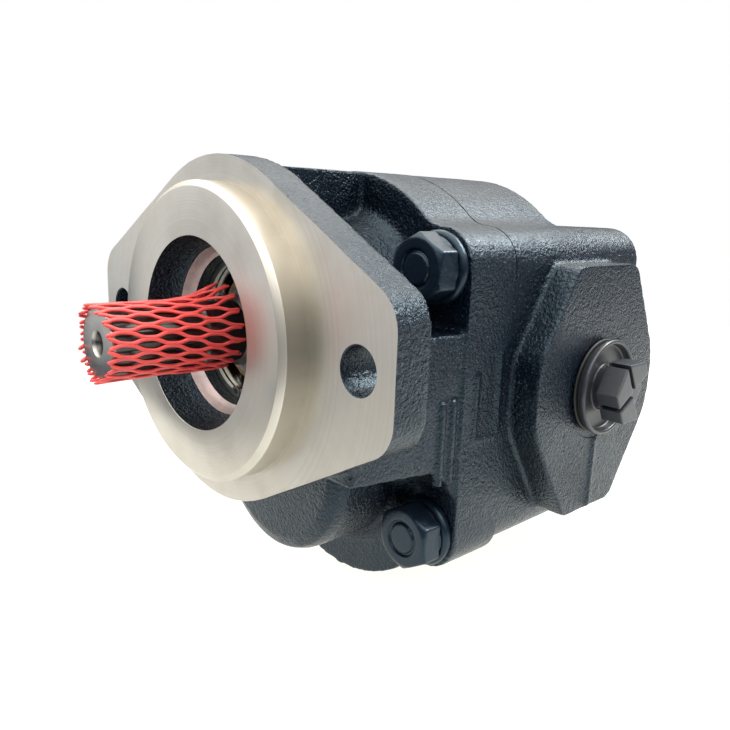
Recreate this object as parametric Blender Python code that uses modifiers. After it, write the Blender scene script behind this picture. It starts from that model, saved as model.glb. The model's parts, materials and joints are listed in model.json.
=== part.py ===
"""A hydraulic external gear pump with a two-bolt flange, as separate parts.

Sizes below are in millimetres and the helpers turn them into metres.
The drive shaft lies along Y through the origin, with its free end at -Y. The origin is where its axis
meets the mounting face of the flange. X is to the side, through the ports, and Z is up.
"""

import math

import bmesh
import bpy
from mathutils import Matrix, Vector

MM = 0.001
GAP = 0.3  # between neighbouring pieces

# Mounting flange, pilot and recess of the front cover
PILOT_RADIUS = 50.8
PILOT_HEIGHT = 9.4
PILOT_CHAMFER = 1.9
FLANGE_THICKNESS = 13.6
FLANGE_ARC_RADIUS = 59.5
FLANGE_SIDE_SLOPE = math.radians(28.8)
FLANGE_HALF_WIDTH = 87.6
FLANGE_CORNER_RADIUS = 13.0
FLANGE_HOLE_X = 73.0
FLANGE_HOLE_RADIUS = 7.15

# Gears
CENTRE_DISTANCE = 49.0
TEETH = 12
MODULE = CENTRE_DISTANCE / TEETH
PRESSURE_ANGLE = math.radians(25)
TIP_RADIUS = 28.5
ROOT_RADIUS = 19.6
TOOTH_THINNING = 0.025  # share of the pitch taken off each tooth for backlash
JOURNAL_RADIUS = 15.0

# Body
DOME_RADIUS = 57.5
DOME_TANGENT = math.radians(50)
BODY_HALF_WIDTH = 62.4
SHOULDER_Z = 39.0
SHOULDER_RADIUS = 14.4
HOUSING_LOWER_INSET = 2.0
PLATE_FRONT_Y = 60.0
SEAM_Y = 85.0
DOME_END_Y = 136.0
REAR_Y = 175.0
REAR_EDGE_RADIUS = 6.0

# Neck of the front cover
NECK_RADIUS = 39.0
LOWER_NECK_RADIUS = 38.5
LOWER_NECK_FRONT_Y = 24.0
WEB_HALF_WIDTH = 61.2
WEB_TOP_Z = 4.0
WEB_LOW_Z = -41.0
RIB_HALF_WIDTH = 6.4

# Ports
PORT_Y = 131.6
PORT_Z = -22.5
BOSS_FACE_X = 73.6
BOSS_ROOT_X = 50.0
SPOTFACE_RADIUS = 21.5
SPOTFACE_DEPTH = 0.4
PORT_RADIUS = 16.65
PASSAGE_RADIUS = 12.0
PORT_DEPTH = 18.0

# Plugs of the ports, measured outward from the face of the boss
PLUG_BODY_DEPTH = 13.6
PLUG_FLANGE_RADIUS = 19.3
PLUG_FLANGE_START = 1.0
PLUG_FLANGE_END = 4.9
PLUG_DISH_RADIUS = 17.4
PLUG_DISH_FLOOR = 1.8
PLUG_NECK_RADIUS = 9.0
PLUG_HEAD_START = 6.0
PLUG_HEAD_END = 15.2
PLUG_ACROSS_FLATS = 23.0
PLUG_SLOT_WIDTH = 2.0
PLUG_SLOT_ANGLES = (math.radians(30), math.radians(120))
PLUG_LOW_QUARTER = math.radians(-15)  # the middle of the quarter of the head that is cut back
PLUG_LOW_QUARTER_DEPTH = 3.8

# Gear chamber and what stands in it, from front to rear
CHAMBER_RADIUS = TIP_RADIUS + 0.4
CHAMBER_END_Y = 163.3
PRELOAD_SEAL_WIDTH = 2.4
WEAR_PLATE_WIDTH = 2.4
GEAR_WIDTH = 30.0
GEAR_FRONT_Y = PORT_Y - GEAR_WIDTH / 2
GEAR_REAR_Y = PORT_Y + GEAR_WIDTH / 2

# Outboard bearing, seal and retaining ring
SHAFT_RADIUS = 12.5
BEARING_RADIUS = 26.0
BEARING_FRONT_Y = 13.0
BEARING_WIDTH = 15.0
BALL_COUNT = 9
BALL_RADIUS = 3.97
BALL_CIRCLE_RADIUS = 19.25
RETAINER_Y = 11.2
RETAINER_WIDTH = 1.4
SEAL_RADIUS = 20.0
SEAL_FRONT_Y = 28.8
SEAL_WIDTH = 9.4

# Shaft end
SHAFT_TIP_Y = -42.0
SPLINE_TEETH = 13
SPLINE_TIP_RADIUS = 10.9
SPLINE_ROOT_RADIUS = 9.4
SPLINE_END_Y = -8.0
COLLAR_RADIUS = 11.05  # the plain disc at the very end
RELIEF_RADIUS = 10.7
RELIEF_END_Y = 6.0

# Cover bolts, at the corners of a rectangle
BOLT_X = 48.0
BOLT_HIGH_Z = 24.4
BOLT_LOW_Z = -73.4
BOLT_RADIUS = 7.0
BOLT_HEAD_ACROSS_FLATS = 22.0
BOLT_HEAD_HEIGHT = 9.2
BOLT_END_Y = 110.0
WASHER_RADIUS = 14.0
WASHER_THICKNESS = 2.8

DOWEL_X = 46.0
DOWEL_RADIUS = 4.0
DOWEL_HALF_LENGTH = 8.0

ROUND_STEPS = 28
SMALL_STEPS = 20
ARC_STEP = math.radians(11)
SHORTEST_STEP = 0.4  # outline points closer than this become one

AXIS_Y = Matrix(((1, 0, 0), (0, 0, 1), (0, -1, 0)))  # local Z along world Y
AXIS_X = Matrix(((0, 0, 1), (0, 1, 0), (-1, 0, 0)))  # local Z along world X
AXIS_MINUS_X = Matrix(((0, 0, -1), (0, 1, 0), (1, 0, 0)))
OUTLINE_XZ = Matrix(((1, 0, 0), (0, 0, -1), (0, 1, 0)))  # local XY is world XZ
OUTLINE_YZ = Matrix(((0, 0, 1), (1, 0, 0), (0, 1, 0)))  # local XY is world YZ

MATERIALS = {
    "cast_paint": ((0.030, 0.036, 0.044), 0.32, 0.0),
    "bolt_paint": ((0.026, 0.032, 0.040), 0.35, 0.0),
    "steel": ((0.56, 0.56, 0.55), 0.28, 1.0),
    "bearing_steel": ((0.62, 0.62, 0.62), 0.18, 1.0),
    "bronze": ((0.62, 0.45, 0.24), 0.34, 1.0),
    "aluminium": ((0.70, 0.70, 0.71), 0.35, 1.0),
    "black_rubber": ((0.020, 0.020, 0.020), 0.60, 0.0),
    "plug_plastic": ((0.022, 0.026, 0.030), 0.38, 0.0),
    "red_net": ((0.80, 0.045, 0.060), 0.45, 0.0),
}


def clear_scene():
    for obj in list(bpy.data.objects):
        bpy.data.objects.remove(obj, do_unlink=True)


def new_collection(name):
    collection = bpy.data.collections.new(name)
    bpy.context.scene.collection.children.link(collection)
    return collection


def new_material(name):
    colour, roughness, metallic = MATERIALS[name]
    material = bpy.data.materials.new(name)
    material.use_nodes = True
    shader = material.node_tree.nodes["Principled BSDF"]
    shader.inputs["Base Color"].default_value = (*colour, 1.0)
    shader.inputs["Roughness"].default_value = roughness
    shader.inputs["Metallic"].default_value = metallic
    return material


def place(obj, turn, centre):
    obj.matrix_world = Matrix.Translation(Vector(centre) * MM) @ turn.to_4x4()


def as_cutter(obj):
    obj.hide_render = True
    obj.display_type = "WIRE"
    CUTTERS.objects.link(obj)
    return obj


def mesh_object(name, bm, turn=Matrix.Identity(3), centre=(0, 0, 0)):
    """An object made from bm, which is in millimetres. It is in no collection yet."""
    bmesh.ops.recalc_face_normals(bm, faces=bm.faces)
    bm.transform(Matrix.Scale(MM, 4))
    mesh = bpy.data.meshes.new(name)
    bm.to_mesh(mesh)
    bm.free()
    obj = bpy.data.objects.new(name, mesh)
    place(obj, turn, centre)
    return obj


def box(name, low, high):
    low = Vector(low)
    high = Vector(high)
    bm = bmesh.new()
    bmesh.ops.create_cube(bm, size=1)
    bmesh.ops.scale(bm, vec=high - low, verts=bm.verts)
    return mesh_object(name, bm, centre=(low + high) / 2)


def cylinder(name, radius, start, end, turn=AXIS_Y, centre=(0, 0, 0), steps=ROUND_STEPS):
    """A cylinder whose ends lie start and end along its axis from centre."""
    bm = bmesh.new()
    middle = Matrix.Translation((0, 0, (start + end) / 2))
    bmesh.ops.create_cone(
        bm, cap_ends=True, segments=steps, radius1=radius, radius2=radius, depth=end - start, matrix=middle
    )
    return mesh_object(name, bm, turn, centre)


def turned(name, profile, turn=AXIS_Y, centre=(0, 0, 0), closed=False, steps=ROUND_STEPS):
    """A turned piece. The profile is (radius, place along the axis), from the front along the outside.

    A closed profile comes back along the inside, and an open one starts and ends on the axis.
    """
    mesh = bpy.data.meshes.new(name)
    points = [(radius * MM, 0, along * MM) for radius, along in reversed(profile)]
    edges = [(i, i + 1) for i in range(len(points) - 1)]
    if closed:
        edges.append((len(points) - 1, 0))
    mesh.from_pydata(points, edges, [])
    obj = bpy.data.objects.new(name, mesh)
    place(obj, turn, centre)
    screw = obj.modifiers.new("Screw", "SCREW")
    screw.steps = steps
    screw.render_steps = steps
    screw.use_merge_vertices = True
    screw.merge_threshold = 0.00001
    return settled(obj)


def settled(obj):
    """The object with its modifiers worked into its mesh."""
    holder = bpy.context.scene.collection
    linked = bool(obj.users_collection)
    if not linked:
        holder.objects.link(obj)
    bpy.context.view_layer.update()
    evaluated = obj.evaluated_get(bpy.context.evaluated_depsgraph_get())
    mesh = bpy.data.meshes.new_from_object(evaluated)
    if not linked:
        holder.objects.unlink(obj)
    obj.modifiers.clear()
    obj.data = mesh
    return obj


def extruded(name, outlines, start, end, turn=OUTLINE_XZ, centre=(0, 0, 0), edge_radius=0.0):
    """A flat piece from its outline, and any holes in it, between two places along its thickness."""
    curve = bpy.data.curves.new(name, "CURVE")
    curve.dimensions = "2D"
    curve.fill_mode = "BOTH"
    curve.extrude = ((end - start) / 2 - edge_radius) * MM
    curve.bevel_depth = edge_radius * MM
    curve.bevel_resolution = 1
    curve.offset = -edge_radius * MM
    for outline in outlines:
        spline = curve.splines.new("POLY")
        spline.points.add(len(outline) - 1)
        for point, (across, up) in zip(spline.points, outline):
            point.co = (across * MM, up * MM, 0, 1)
        spline.use_cyclic_u = True
    guide = bpy.data.objects.new(name, curve)
    along = turn @ Vector((0, 0, 1))
    middle = Vector([abs(part) for part in along]) * (start + end) / 2
    place(guide, turn, Vector(centre) + middle)
    bpy.context.scene.collection.objects.link(guide)
    bpy.context.view_layer.update()
    mesh = bpy.data.meshes.new_from_object(guide.evaluated_get(bpy.context.evaluated_depsgraph_get()))
    bm = bmesh.new()
    bm.from_mesh(mesh)
    bmesh.ops.remove_doubles(bm, verts=bm.verts, dist=0.00001)
    if len(outlines) == 1:
        bmesh.ops.dissolve_limit(bm, angle_limit=math.radians(0.5), verts=bm.verts, edges=bm.edges)
    bmesh.ops.recalc_face_normals(bm, faces=bm.faces)
    bm.to_mesh(mesh)
    bm.free()
    obj = bpy.data.objects.new(name, mesh)
    obj.matrix_world = guide.matrix_world
    bpy.data.objects.remove(guide)
    return obj


def combine(obj, operation, others):
    """Adds, cuts or intersects obj with the others, which become cutters."""
    for other in others:
        as_cutter(other)
        boolean = obj.modifiers.new(other.name, "BOOLEAN")
        boolean.operation = operation
        boolean.solver = "EXACT"
        boolean.object = other
    return settled(obj)


def add_part(obj, name, material):
    """Names a finished piece, gives it its material and puts it with the pump's parts."""
    obj.name = name
    obj.data.name = name
    obj.data.materials.clear()
    obj.data.materials.append(SURFACES[material])
    obj.data.shade_smooth()
    obj.data.set_sharp_from_angle(angle=math.radians(32))
    PARTS.objects.link(obj)
    return obj


def rounded_outline(corners):
    """Points round a polygon given as (across, up, radius) corners, each rounded to its radius."""
    points = []
    for index, (across, up, radius) in enumerate(corners):
        corner = Vector((across, up))
        back = (Vector(corners[index - 1][:2]) - corner).normalized()
        ahead = (Vector(corners[(index + 1) % len(corners)][:2]) - corner).normalized()
        if radius == 0:
            points.append(tuple(corner))
            continue
        half = back.angle(ahead) / 2
        middle = corner + (back + ahead).normalized() * radius / math.sin(half)
        first = corner + back * radius / math.tan(half) - middle
        last = corner + ahead * radius / math.tan(half) - middle
        start = math.atan2(first.y, first.x)
        sweep = math.atan2(last.y, last.x) - start
        sweep = (sweep + math.pi) % math.tau - math.pi
        count = max(1, math.ceil(abs(sweep) / ARC_STEP))
        for step in range(count + 1):
            angle = start + sweep * step / count
            point = (middle.x + radius * math.cos(angle), middle.y + radius * math.sin(angle))
            if not points or math.dist(point, points[-1]) > SHORTEST_STEP:
                points.append(point)
    return points


def both_sides(right_corners):
    """The corners of a shape that is the same on both sides, from those on its right, top to bottom."""
    left = [(-across, up, radius) for across, up, radius in reversed(right_corners) if across != 0]
    return right_corners + left


def hexagon_outline(across_flats):
    """A hexagon with one flat at the top and one at the bottom."""
    radius = across_flats / 2 / math.cos(math.pi / 6)
    angles = [math.tau * corner / 6 for corner in range(6)]
    return [(radius * math.cos(angle), radius * math.sin(angle)) for angle in angles]


def bar_outline(length, width, angle):
    """A rectangle about the centre, its length turned by the angle."""
    corners = [(length, width), (-length, width), (-length, -width), (length, -width)]
    turn = Matrix.Rotation(angle, 2)
    return [tuple(turn @ Vector(corner) / 2) for corner in corners]


def stadium_outline(radius):
    """Half circles round the two shafts, with straight sides between them."""
    half_steps = ROUND_STEPS // 2
    upper = [math.pi * step / half_steps for step in range(half_steps + 1)]
    lower = [math.pi + angle for angle in upper]
    top = [(radius * math.cos(angle), radius * math.sin(angle)) for angle in upper]
    bottom = [(radius * math.cos(angle), radius * math.sin(angle) - CENTRE_DISTANCE) for angle in lower]
    return top + bottom


def flange_outline():
    apex = FLANGE_ARC_RADIUS / math.cos(FLANGE_SIDE_SLOPE)
    end = apex - math.tan(FLANGE_SIDE_SLOPE) * FLANGE_HALF_WIDTH
    return rounded_outline(
        both_sides(
            [
                (0, apex, FLANGE_ARC_RADIUS),
                (FLANGE_HALF_WIDTH, end, FLANGE_CORNER_RADIUS),
                (FLANGE_HALF_WIDTH, -end, FLANGE_CORNER_RADIUS),
                (0, -apex, FLANGE_ARC_RADIUS),
            ]
        )
    )


def body_outline(lower_inset=0.0):
    """The body seen along the shafts: a dome round each gear between square shoulders."""
    apex = DOME_RADIUS / math.sin(DOME_TANGENT)

    def valley(height):
        return (DOME_RADIUS - height * math.sin(DOME_TANGENT)) / math.cos(DOME_TANGENT)

    def valley_radius(height, width, corner_radius):
        flat = width - corner_radius - valley(height)
        return flat / math.tan((math.pi / 2 - DOME_TANGENT) / 2)

    low_height = SHOULDER_Z - lower_inset
    low_z = -CENTRE_DISTANCE - low_height
    low_width = BODY_HALF_WIDTH - lower_inset
    low_radius = SHOULDER_RADIUS - lower_inset / 2
    return rounded_outline(
        both_sides(
            [
                (0, apex, DOME_RADIUS),
                (valley(SHOULDER_Z), SHOULDER_Z, valley_radius(SHOULDER_Z, BODY_HALF_WIDTH, SHOULDER_RADIUS)),
                (BODY_HALF_WIDTH, SHOULDER_Z, SHOULDER_RADIUS),
                (low_width, low_z, low_radius),
                (valley(low_height), low_z, valley_radius(low_height, low_width, low_radius)),
                (0, -CENTRE_DISTANCE - apex, DOME_RADIUS),
            ]
        )
    )


def rear_outline():
    """The rear of the housing has the shoulders but not the domes."""
    width = BODY_HALF_WIDTH - 0.2
    high = SHOULDER_Z - 0.2
    low = -CENTRE_DISTANCE - SHOULDER_Z + HOUSING_LOWER_INSET + 0.2
    return rounded_outline(
        both_sides(
            [
                (width, high, SHOULDER_RADIUS),
                (width - HOUSING_LOWER_INSET, low, SHOULDER_RADIUS - HOUSING_LOWER_INSET / 2),
            ]
        )
    )


def boss_outline():
    """The port boss seen from the side, across is Y: eight corners, widest at the port."""
    return rounded_outline(
        [
            (109.0, 25.6, 4.0),
            (153.0, 25.6, 8.0),
            (174.5, -12.0, 25.0),
            (174.5, -37.0, 25.0),
            (149.5, -74.8, 8.0),
            (114.0, -74.8, 5.0),
            (88.5, -35.0, 22.0),
            (88.5, -9.0, 22.0),
        ]
    )


def web_outline():
    """The side web between the bolt pockets, across is Y: level on top, arched over the lower bolt."""
    return rounded_outline(
        [
            (FLANGE_THICKNESS - 4, WEB_TOP_Z, 0),
            (PLATE_FRONT_Y + 4, WEB_TOP_Z - 1, 0),
            (PLATE_FRONT_Y + 4, WEB_LOW_Z - 22, 0),
            (PLATE_FRONT_Y - 9, WEB_LOW_Z - 4, 14.0),
            (FLANGE_THICKNESS - 4, WEB_LOW_Z, 0),
        ]
    )


def involute(base_radius, radius):
    """How far round an involute has gone by the time it reaches the radius."""
    slant = math.acos(min(1.0, base_radius / radius))
    return math.tan(slant) - slant


def gear_outline(first_angle):
    """A spur gear with a tooth centred on first_angle."""
    pitch_radius = MODULE * TEETH / 2
    base_radius = pitch_radius * math.cos(PRESSURE_ANGLE)
    half_tooth = math.pi / TEETH * (0.5 - TOOTH_THINNING)
    base_half = half_tooth + involute(base_radius, pitch_radius)
    radii = [ROOT_RADIUS] + [base_radius + (TIP_RADIUS - base_radius) * step / 3 for step in range(4)]
    flank = [(radius, base_half - involute(base_radius, max(radius, base_radius))) for radius in radii]
    points = []
    for tooth in range(TEETH):
        centre = first_angle + math.tau * tooth / TEETH
        rising = [(radius, centre - offset) for radius, offset in flank]
        falling = [(radius, centre + offset) for radius, offset in reversed(flank)]
        points += [(radius * math.cos(angle), radius * math.sin(angle)) for radius, angle in rising + falling]
    return points


def spline_outline():
    points = []
    pitch = math.tau / SPLINE_TEETH
    tooth = [
        (SPLINE_ROOT_RADIUS, -0.30),
        (SPLINE_TIP_RADIUS, -0.17),
        (SPLINE_TIP_RADIUS, 0.17),
        (SPLINE_ROOT_RADIUS, 0.30),
    ]
    for index in range(SPLINE_TEETH):
        for radius, share in tooth:
            angle = pitch * (index + share)
            points.append((radius * math.cos(angle), radius * math.sin(angle)))
    return points


def bolt_places():
    return [(side * BOLT_X, z) for z in (BOLT_HIGH_Z, BOLT_LOW_Z) for side in (-1, 1)]


def bolt_holes(radius, start, end):
    return [
        cylinder(f"bolt_hole_{number}", radius, start, end, centre=(x, 0, z), steps=SMALL_STEPS)
        for number, (x, z) in enumerate(bolt_places(), 1)
    ]


def dowel_holes(start, end):
    radius = DOWEL_RADIUS + GAP
    centres = [(side * DOWEL_X, 0, -CENTRE_DISTANCE / 2) for side in (-1, 1)]
    return [
        cylinder(f"dowel_hole_{number}", radius, start, end, centre=centre, steps=16)
        for number, centre in enumerate(centres, 1)
    ]


def cover_bore():
    """The recess in the pilot, the seats of bearing and seal, and the way through for the shaft."""
    bearing_end = BEARING_FRONT_Y + BEARING_WIDTH + GAP
    seal_end = SEAL_FRONT_Y + SEAL_WIDTH + GAP
    groove = RETAINER_Y - GAP
    groove_end = RETAINER_Y + RETAINER_WIDTH + GAP / 2
    return turned(
        "cover_bore",
        [
            (0, -PILOT_HEIGHT - 1),
            (32.8, -PILOT_HEIGHT - 1),
            (32.6, -PILOT_HEIGHT),
            (29.8, 2.5),
            (27.2, 6.5),
            (27.2, groove),
            (28.4, groove),
            (28.4, groove_end),
            (BEARING_RADIUS + GAP, groove_end),
            (BEARING_RADIUS + GAP, bearing_end),
            (SEAL_RADIUS + GAP, bearing_end),
            (SEAL_RADIUS + GAP, seal_end),
            (15.8, seal_end),
            (15.8, SEAM_Y + 1),
            (0, SEAM_Y + 1),
        ],
    )


def front_cover():
    cover = extruded("cover_flange", [flange_outline()], 0, FLANGE_THICKNESS)
    lower = (0, 0, -CENTRE_DISTANCE)
    inside = PLATE_FRONT_Y + 10
    additions = [
        turned(
            "pilot",
            [
                (0, -PILOT_HEIGHT),
                (PILOT_RADIUS - PILOT_CHAMFER, -PILOT_HEIGHT),
                (PILOT_RADIUS, PILOT_CHAMFER - PILOT_HEIGHT),
                (PILOT_RADIUS, 3),
                (0, 3),
            ],
            steps=64,
        ),
        extruded("bolt_plate", [body_outline()], PLATE_FRONT_Y, SEAM_Y),
        cylinder("neck", NECK_RADIUS, 5, inside),
        cylinder("lower_neck", LOWER_NECK_RADIUS, LOWER_NECK_FRONT_Y, inside, centre=lower),
        box("neck_fill", (-38, LOWER_NECK_FRONT_Y + 1, -CENTRE_DISTANCE), (38, inside - 1, 0)),
        extruded("side_web", [web_outline()], -WEB_HALF_WIDTH, WEB_HALF_WIDTH, turn=OUTLINE_YZ),
        box("top_rib", (-RIB_HALF_WIDTH, 6, 30), (RIB_HALF_WIDTH, inside - 2, DOME_RADIUS - 0.6)),
        box("side_pad", (BODY_HALF_WIDTH - 3, 61.5, -32.0), (BODY_HALF_WIDTH + 1.2, 82.0, -2.5)),
    ]
    cuts = [
        cover_bore(),
        cylinder("driven_end_pocket", 16.5, SEAM_Y - 4, SEAM_Y + 1, centre=lower),
        extruded("seal_groove", [stadium_outline(35.8), stadium_outline(32.6)], SEAM_Y - 2.5, SEAM_Y + 1),
    ]
    cuts += bolt_holes(BOLT_RADIUS + 0.6, PLATE_FRONT_Y - 1, SEAM_Y + 1)
    cuts += dowel_holes(SEAM_Y - DOWEL_HALF_LENGTH - GAP, SEAM_Y + 1)
    for side in (-1, 1):
        centre = (side * FLANGE_HOLE_X, 0, 0)
        cuts.append(cylinder(f"flange_hole_{side}", FLANGE_HOLE_RADIUS, -1, 15, centre=centre, steps=32))
    combine(cover, "UNION", additions)
    combine(cover, "DIFFERENCE", cuts)
    return add_part(cover, "front_cover", "cast_paint")


def port_bore(turn, name):
    """The threaded port and its passage to the gears, measured along the port's axis."""
    return turned(
        name,
        [
            (0, PASSAGE_RADIUS + 2),
            (PASSAGE_RADIUS, PASSAGE_RADIUS + 2),
            (PASSAGE_RADIUS, BOSS_FACE_X - PORT_DEPTH),
            (PORT_RADIUS, BOSS_FACE_X - PORT_DEPTH),
            (PORT_RADIUS, BOSS_FACE_X - 2),
            (PORT_RADIUS + 1.2, BOSS_FACE_X - SPOTFACE_DEPTH),
            (SPOTFACE_RADIUS, BOSS_FACE_X - SPOTFACE_DEPTH),
            (SPOTFACE_RADIUS, BOSS_FACE_X + 1),
            (0, BOSS_FACE_X + 1),
        ],
        turn=turn,
        centre=(0, PORT_Y, PORT_Z),
        steps=28,
    )


def gear_housing():
    front = SEAM_Y + GAP
    driven_axis = (0, 0, -CENTRE_DISTANCE)
    housing = extruded("housing_front", [body_outline(HOUSING_LOWER_INSET)], front, DOME_END_Y)
    rear = extruded("housing_rear", [rear_outline()], DOME_END_Y - 20, REAR_Y, edge_radius=REAR_EDGE_RADIUS)
    bosses = [
        extruded("boss_right", [boss_outline()], BOSS_ROOT_X, BOSS_FACE_X, turn=OUTLINE_YZ),
        extruded("boss_left", [boss_outline()], -BOSS_FACE_X, -BOSS_ROOT_X, turn=OUTLINE_YZ),
    ]
    cuts = [
        cylinder("drive_chamber", CHAMBER_RADIUS, SEAM_Y - 1, CHAMBER_END_Y),
        cylinder("driven_chamber", CHAMBER_RADIUS, SEAM_Y - 1, CHAMBER_END_Y, centre=driven_axis),
        port_bore(AXIS_X, "port_bore_right"),
        port_bore(AXIS_MINUS_X, "port_bore_left"),
    ]
    cuts += bolt_holes(BOLT_RADIUS + GAP, SEAM_Y - 1, BOLT_END_Y + 2)
    cuts += dowel_holes(SEAM_Y - 1, SEAM_Y + DOWEL_HALF_LENGTH + GAP)
    combine(housing, "UNION", [rear] + bosses)
    combine(housing, "DIFFERENCE", cuts)
    return add_part(housing, "gear_housing", "cast_paint")


def drive_gear_shaft():
    """The driving shaft: splined end, bearing and seal seat, journals and its own gear, in one piece."""
    end = CHAMBER_END_Y - GAP
    shaft = turned(
        "drive_core",
        [
            (0, SHAFT_TIP_Y),
            (COLLAR_RADIUS - 0.35, SHAFT_TIP_Y),
            (COLLAR_RADIUS, SHAFT_TIP_Y + 0.35),
            (COLLAR_RADIUS, SHAFT_TIP_Y + 1.2),
            (SPLINE_ROOT_RADIUS - 0.4, SHAFT_TIP_Y + 2),
            (SPLINE_ROOT_RADIUS - 0.4, SPLINE_END_Y - 1),
            (RELIEF_RADIUS, SPLINE_END_Y),
            (RELIEF_RADIUS, RELIEF_END_Y),
            (SHAFT_RADIUS, RELIEF_END_Y + 1.8),
            (SHAFT_RADIUS, 42),
            (JOURNAL_RADIUS - 1, 44),
            (JOURNAL_RADIUS - 1, 86),
            (JOURNAL_RADIUS, 87),
            (JOURNAL_RADIUS, end - 1),
            (JOURNAL_RADIUS - 1, end),
            (0, end),
        ],
    )
    spline = extruded("drive_spline", [spline_outline()], SHAFT_TIP_Y + 0.6, SPLINE_END_Y - 0.6)
    gear = extruded("drive_teeth", [gear_outline(-math.pi / 2)], GEAR_FRONT_Y, GEAR_REAR_Y)
    centre_hole = turned(
        "centre_hole",
        [
            (0, SHAFT_TIP_Y - 1),
            (4.9, SHAFT_TIP_Y - 1),
            (4.3, SHAFT_TIP_Y),
            (2.6, SHAFT_TIP_Y + 3),
            (2.6, SHAFT_TIP_Y + 9),
            (0, SHAFT_TIP_Y + 10.5),
        ],
        steps=SMALL_STEPS,
    )
    combine(shaft, "UNION", [spline, gear])
    combine(shaft, "DIFFERENCE", [centre_hole])
    return add_part(shaft, "drive_gear_shaft", "steel")


def driven_gear_shaft():
    start = SEAM_Y - 4 + GAP
    end = CHAMBER_END_Y - GAP
    axis = (0, 0, -CENTRE_DISTANCE)
    shaft = turned(
        "driven_core",
        [
            (0, start),
            (JOURNAL_RADIUS - 1, start),
            (JOURNAL_RADIUS, start + 1),
            (JOURNAL_RADIUS, end - 1),
            (JOURNAL_RADIUS - 1, end),
            (0, end),
        ],
        centre=axis,
    )
    first_tooth = math.pi / 2 - math.pi / TEETH
    gear = extruded("driven_teeth", [gear_outline(first_tooth)], GEAR_FRONT_Y, GEAR_REAR_Y, centre=axis)
    combine(shaft, "UNION", [gear])
    return add_part(shaft, "driven_gear_shaft", "steel")


def wear_plate(name, start):
    """A figure-of-eight plate against the gear faces, with a hole for each journal."""
    lower = (0, 0, -CENTRE_DISTANCE)
    end = start + WEAR_PLATE_WIDTH
    radius = CHAMBER_RADIUS - GAP
    plate = cylinder(name, radius, start, end)
    combine(plate, "UNION", [cylinder(f"{name}_lower", radius, start, end, centre=lower)])
    holes = [
        cylinder(f"{name}_hole_{number}", JOURNAL_RADIUS + 0.4, start - 1, end + 1, centre=centre)
        for number, centre in enumerate(((0, 0, 0), lower), 1)
    ]
    combine(plate, "DIFFERENCE", holes)
    return add_part(plate, name, "bronze")


def bushing(name, start, end, shaft_z):
    """A bearing block with a flat where it meets the block of the other shaft."""
    block = turned(
        name,
        [
            (JOURNAL_RADIUS + GAP, start),
            (CHAMBER_RADIUS - GAP, start),
            (CHAMBER_RADIUS - GAP, end),
            (JOURNAL_RADIUS + GAP, end),
        ],
        centre=(0, 0, shaft_z),
        closed=True,
    )
    flat_z = -CENTRE_DISTANCE / 2
    if shaft_z > flat_z:
        beyond = ((-40, start - 1, flat_z - 20), (40, end + 1, flat_z + GAP / 2))
    else:
        beyond = ((-40, start - 1, flat_z - GAP / 2), (40, end + 1, flat_z + 20))
    combine(block, "DIFFERENCE", [box(f"{name}_flat", *beyond)])
    return add_part(block, name, "aluminium")


def chamber_contents():
    front_plate = GEAR_FRONT_Y - GAP - WEAR_PLATE_WIDTH
    rear_plate = GEAR_REAR_Y + GAP
    front_start = SEAM_Y + GAP + PRELOAD_SEAL_WIDTH + GAP
    rear_start = rear_plate + WEAR_PLATE_WIDTH + GAP
    wear_plate("front_wear_plate", front_plate)
    wear_plate("rear_wear_plate", rear_plate)
    for shaft, shaft_z in (("drive", 0.0), ("driven", -CENTRE_DISTANCE)):
        bushing(f"{shaft}_front_bushing", front_start, front_plate - GAP, shaft_z)
        bushing(f"{shaft}_rear_bushing", rear_start, CHAMBER_END_Y - GAP, shaft_z)
        seal = turned(
            f"{shaft}_seal",
            [
                (21.0, SEAM_Y + GAP),
                (24.0, SEAM_Y + GAP),
                (24.0, SEAM_Y + GAP + PRELOAD_SEAL_WIDTH),
                (21.0, SEAM_Y + GAP + PRELOAD_SEAL_WIDTH),
            ],
            centre=(0, 0, shaft_z),
            closed=True,
            steps=28,
        )
        add_part(seal, f"{shaft}_preload_seal", "black_rubber")


def race_profile(outside, inside, groove_in_outside):
    """A bearing ring, with the groove that its balls run in."""
    front = BEARING_FRONT_Y
    rear = BEARING_FRONT_Y + BEARING_WIDTH
    middle = (front + rear) / 2
    groove_radius = BALL_RADIUS + 0.25
    edge = outside if groove_in_outside else inside
    reach = math.asin(abs(edge - BALL_CIRCLE_RADIUS) / groove_radius)
    spread = math.pi / 2 - reach
    angles = [spread * (step / 2 - 1) for step in range(5)]
    sign = -1 if groove_in_outside else 1
    groove = []
    for angle in angles:
        radius = BALL_CIRCLE_RADIUS + sign * groove_radius * math.cos(angle)
        groove.append((radius, middle + groove_radius * math.sin(angle)))
    if groove_in_outside:
        return [(inside, front), (outside, front)] + groove + [(outside, rear), (inside, rear)]
    return [(inside, front), (outside, front), (outside, rear), (inside, rear)] + groove[::-1]


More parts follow.
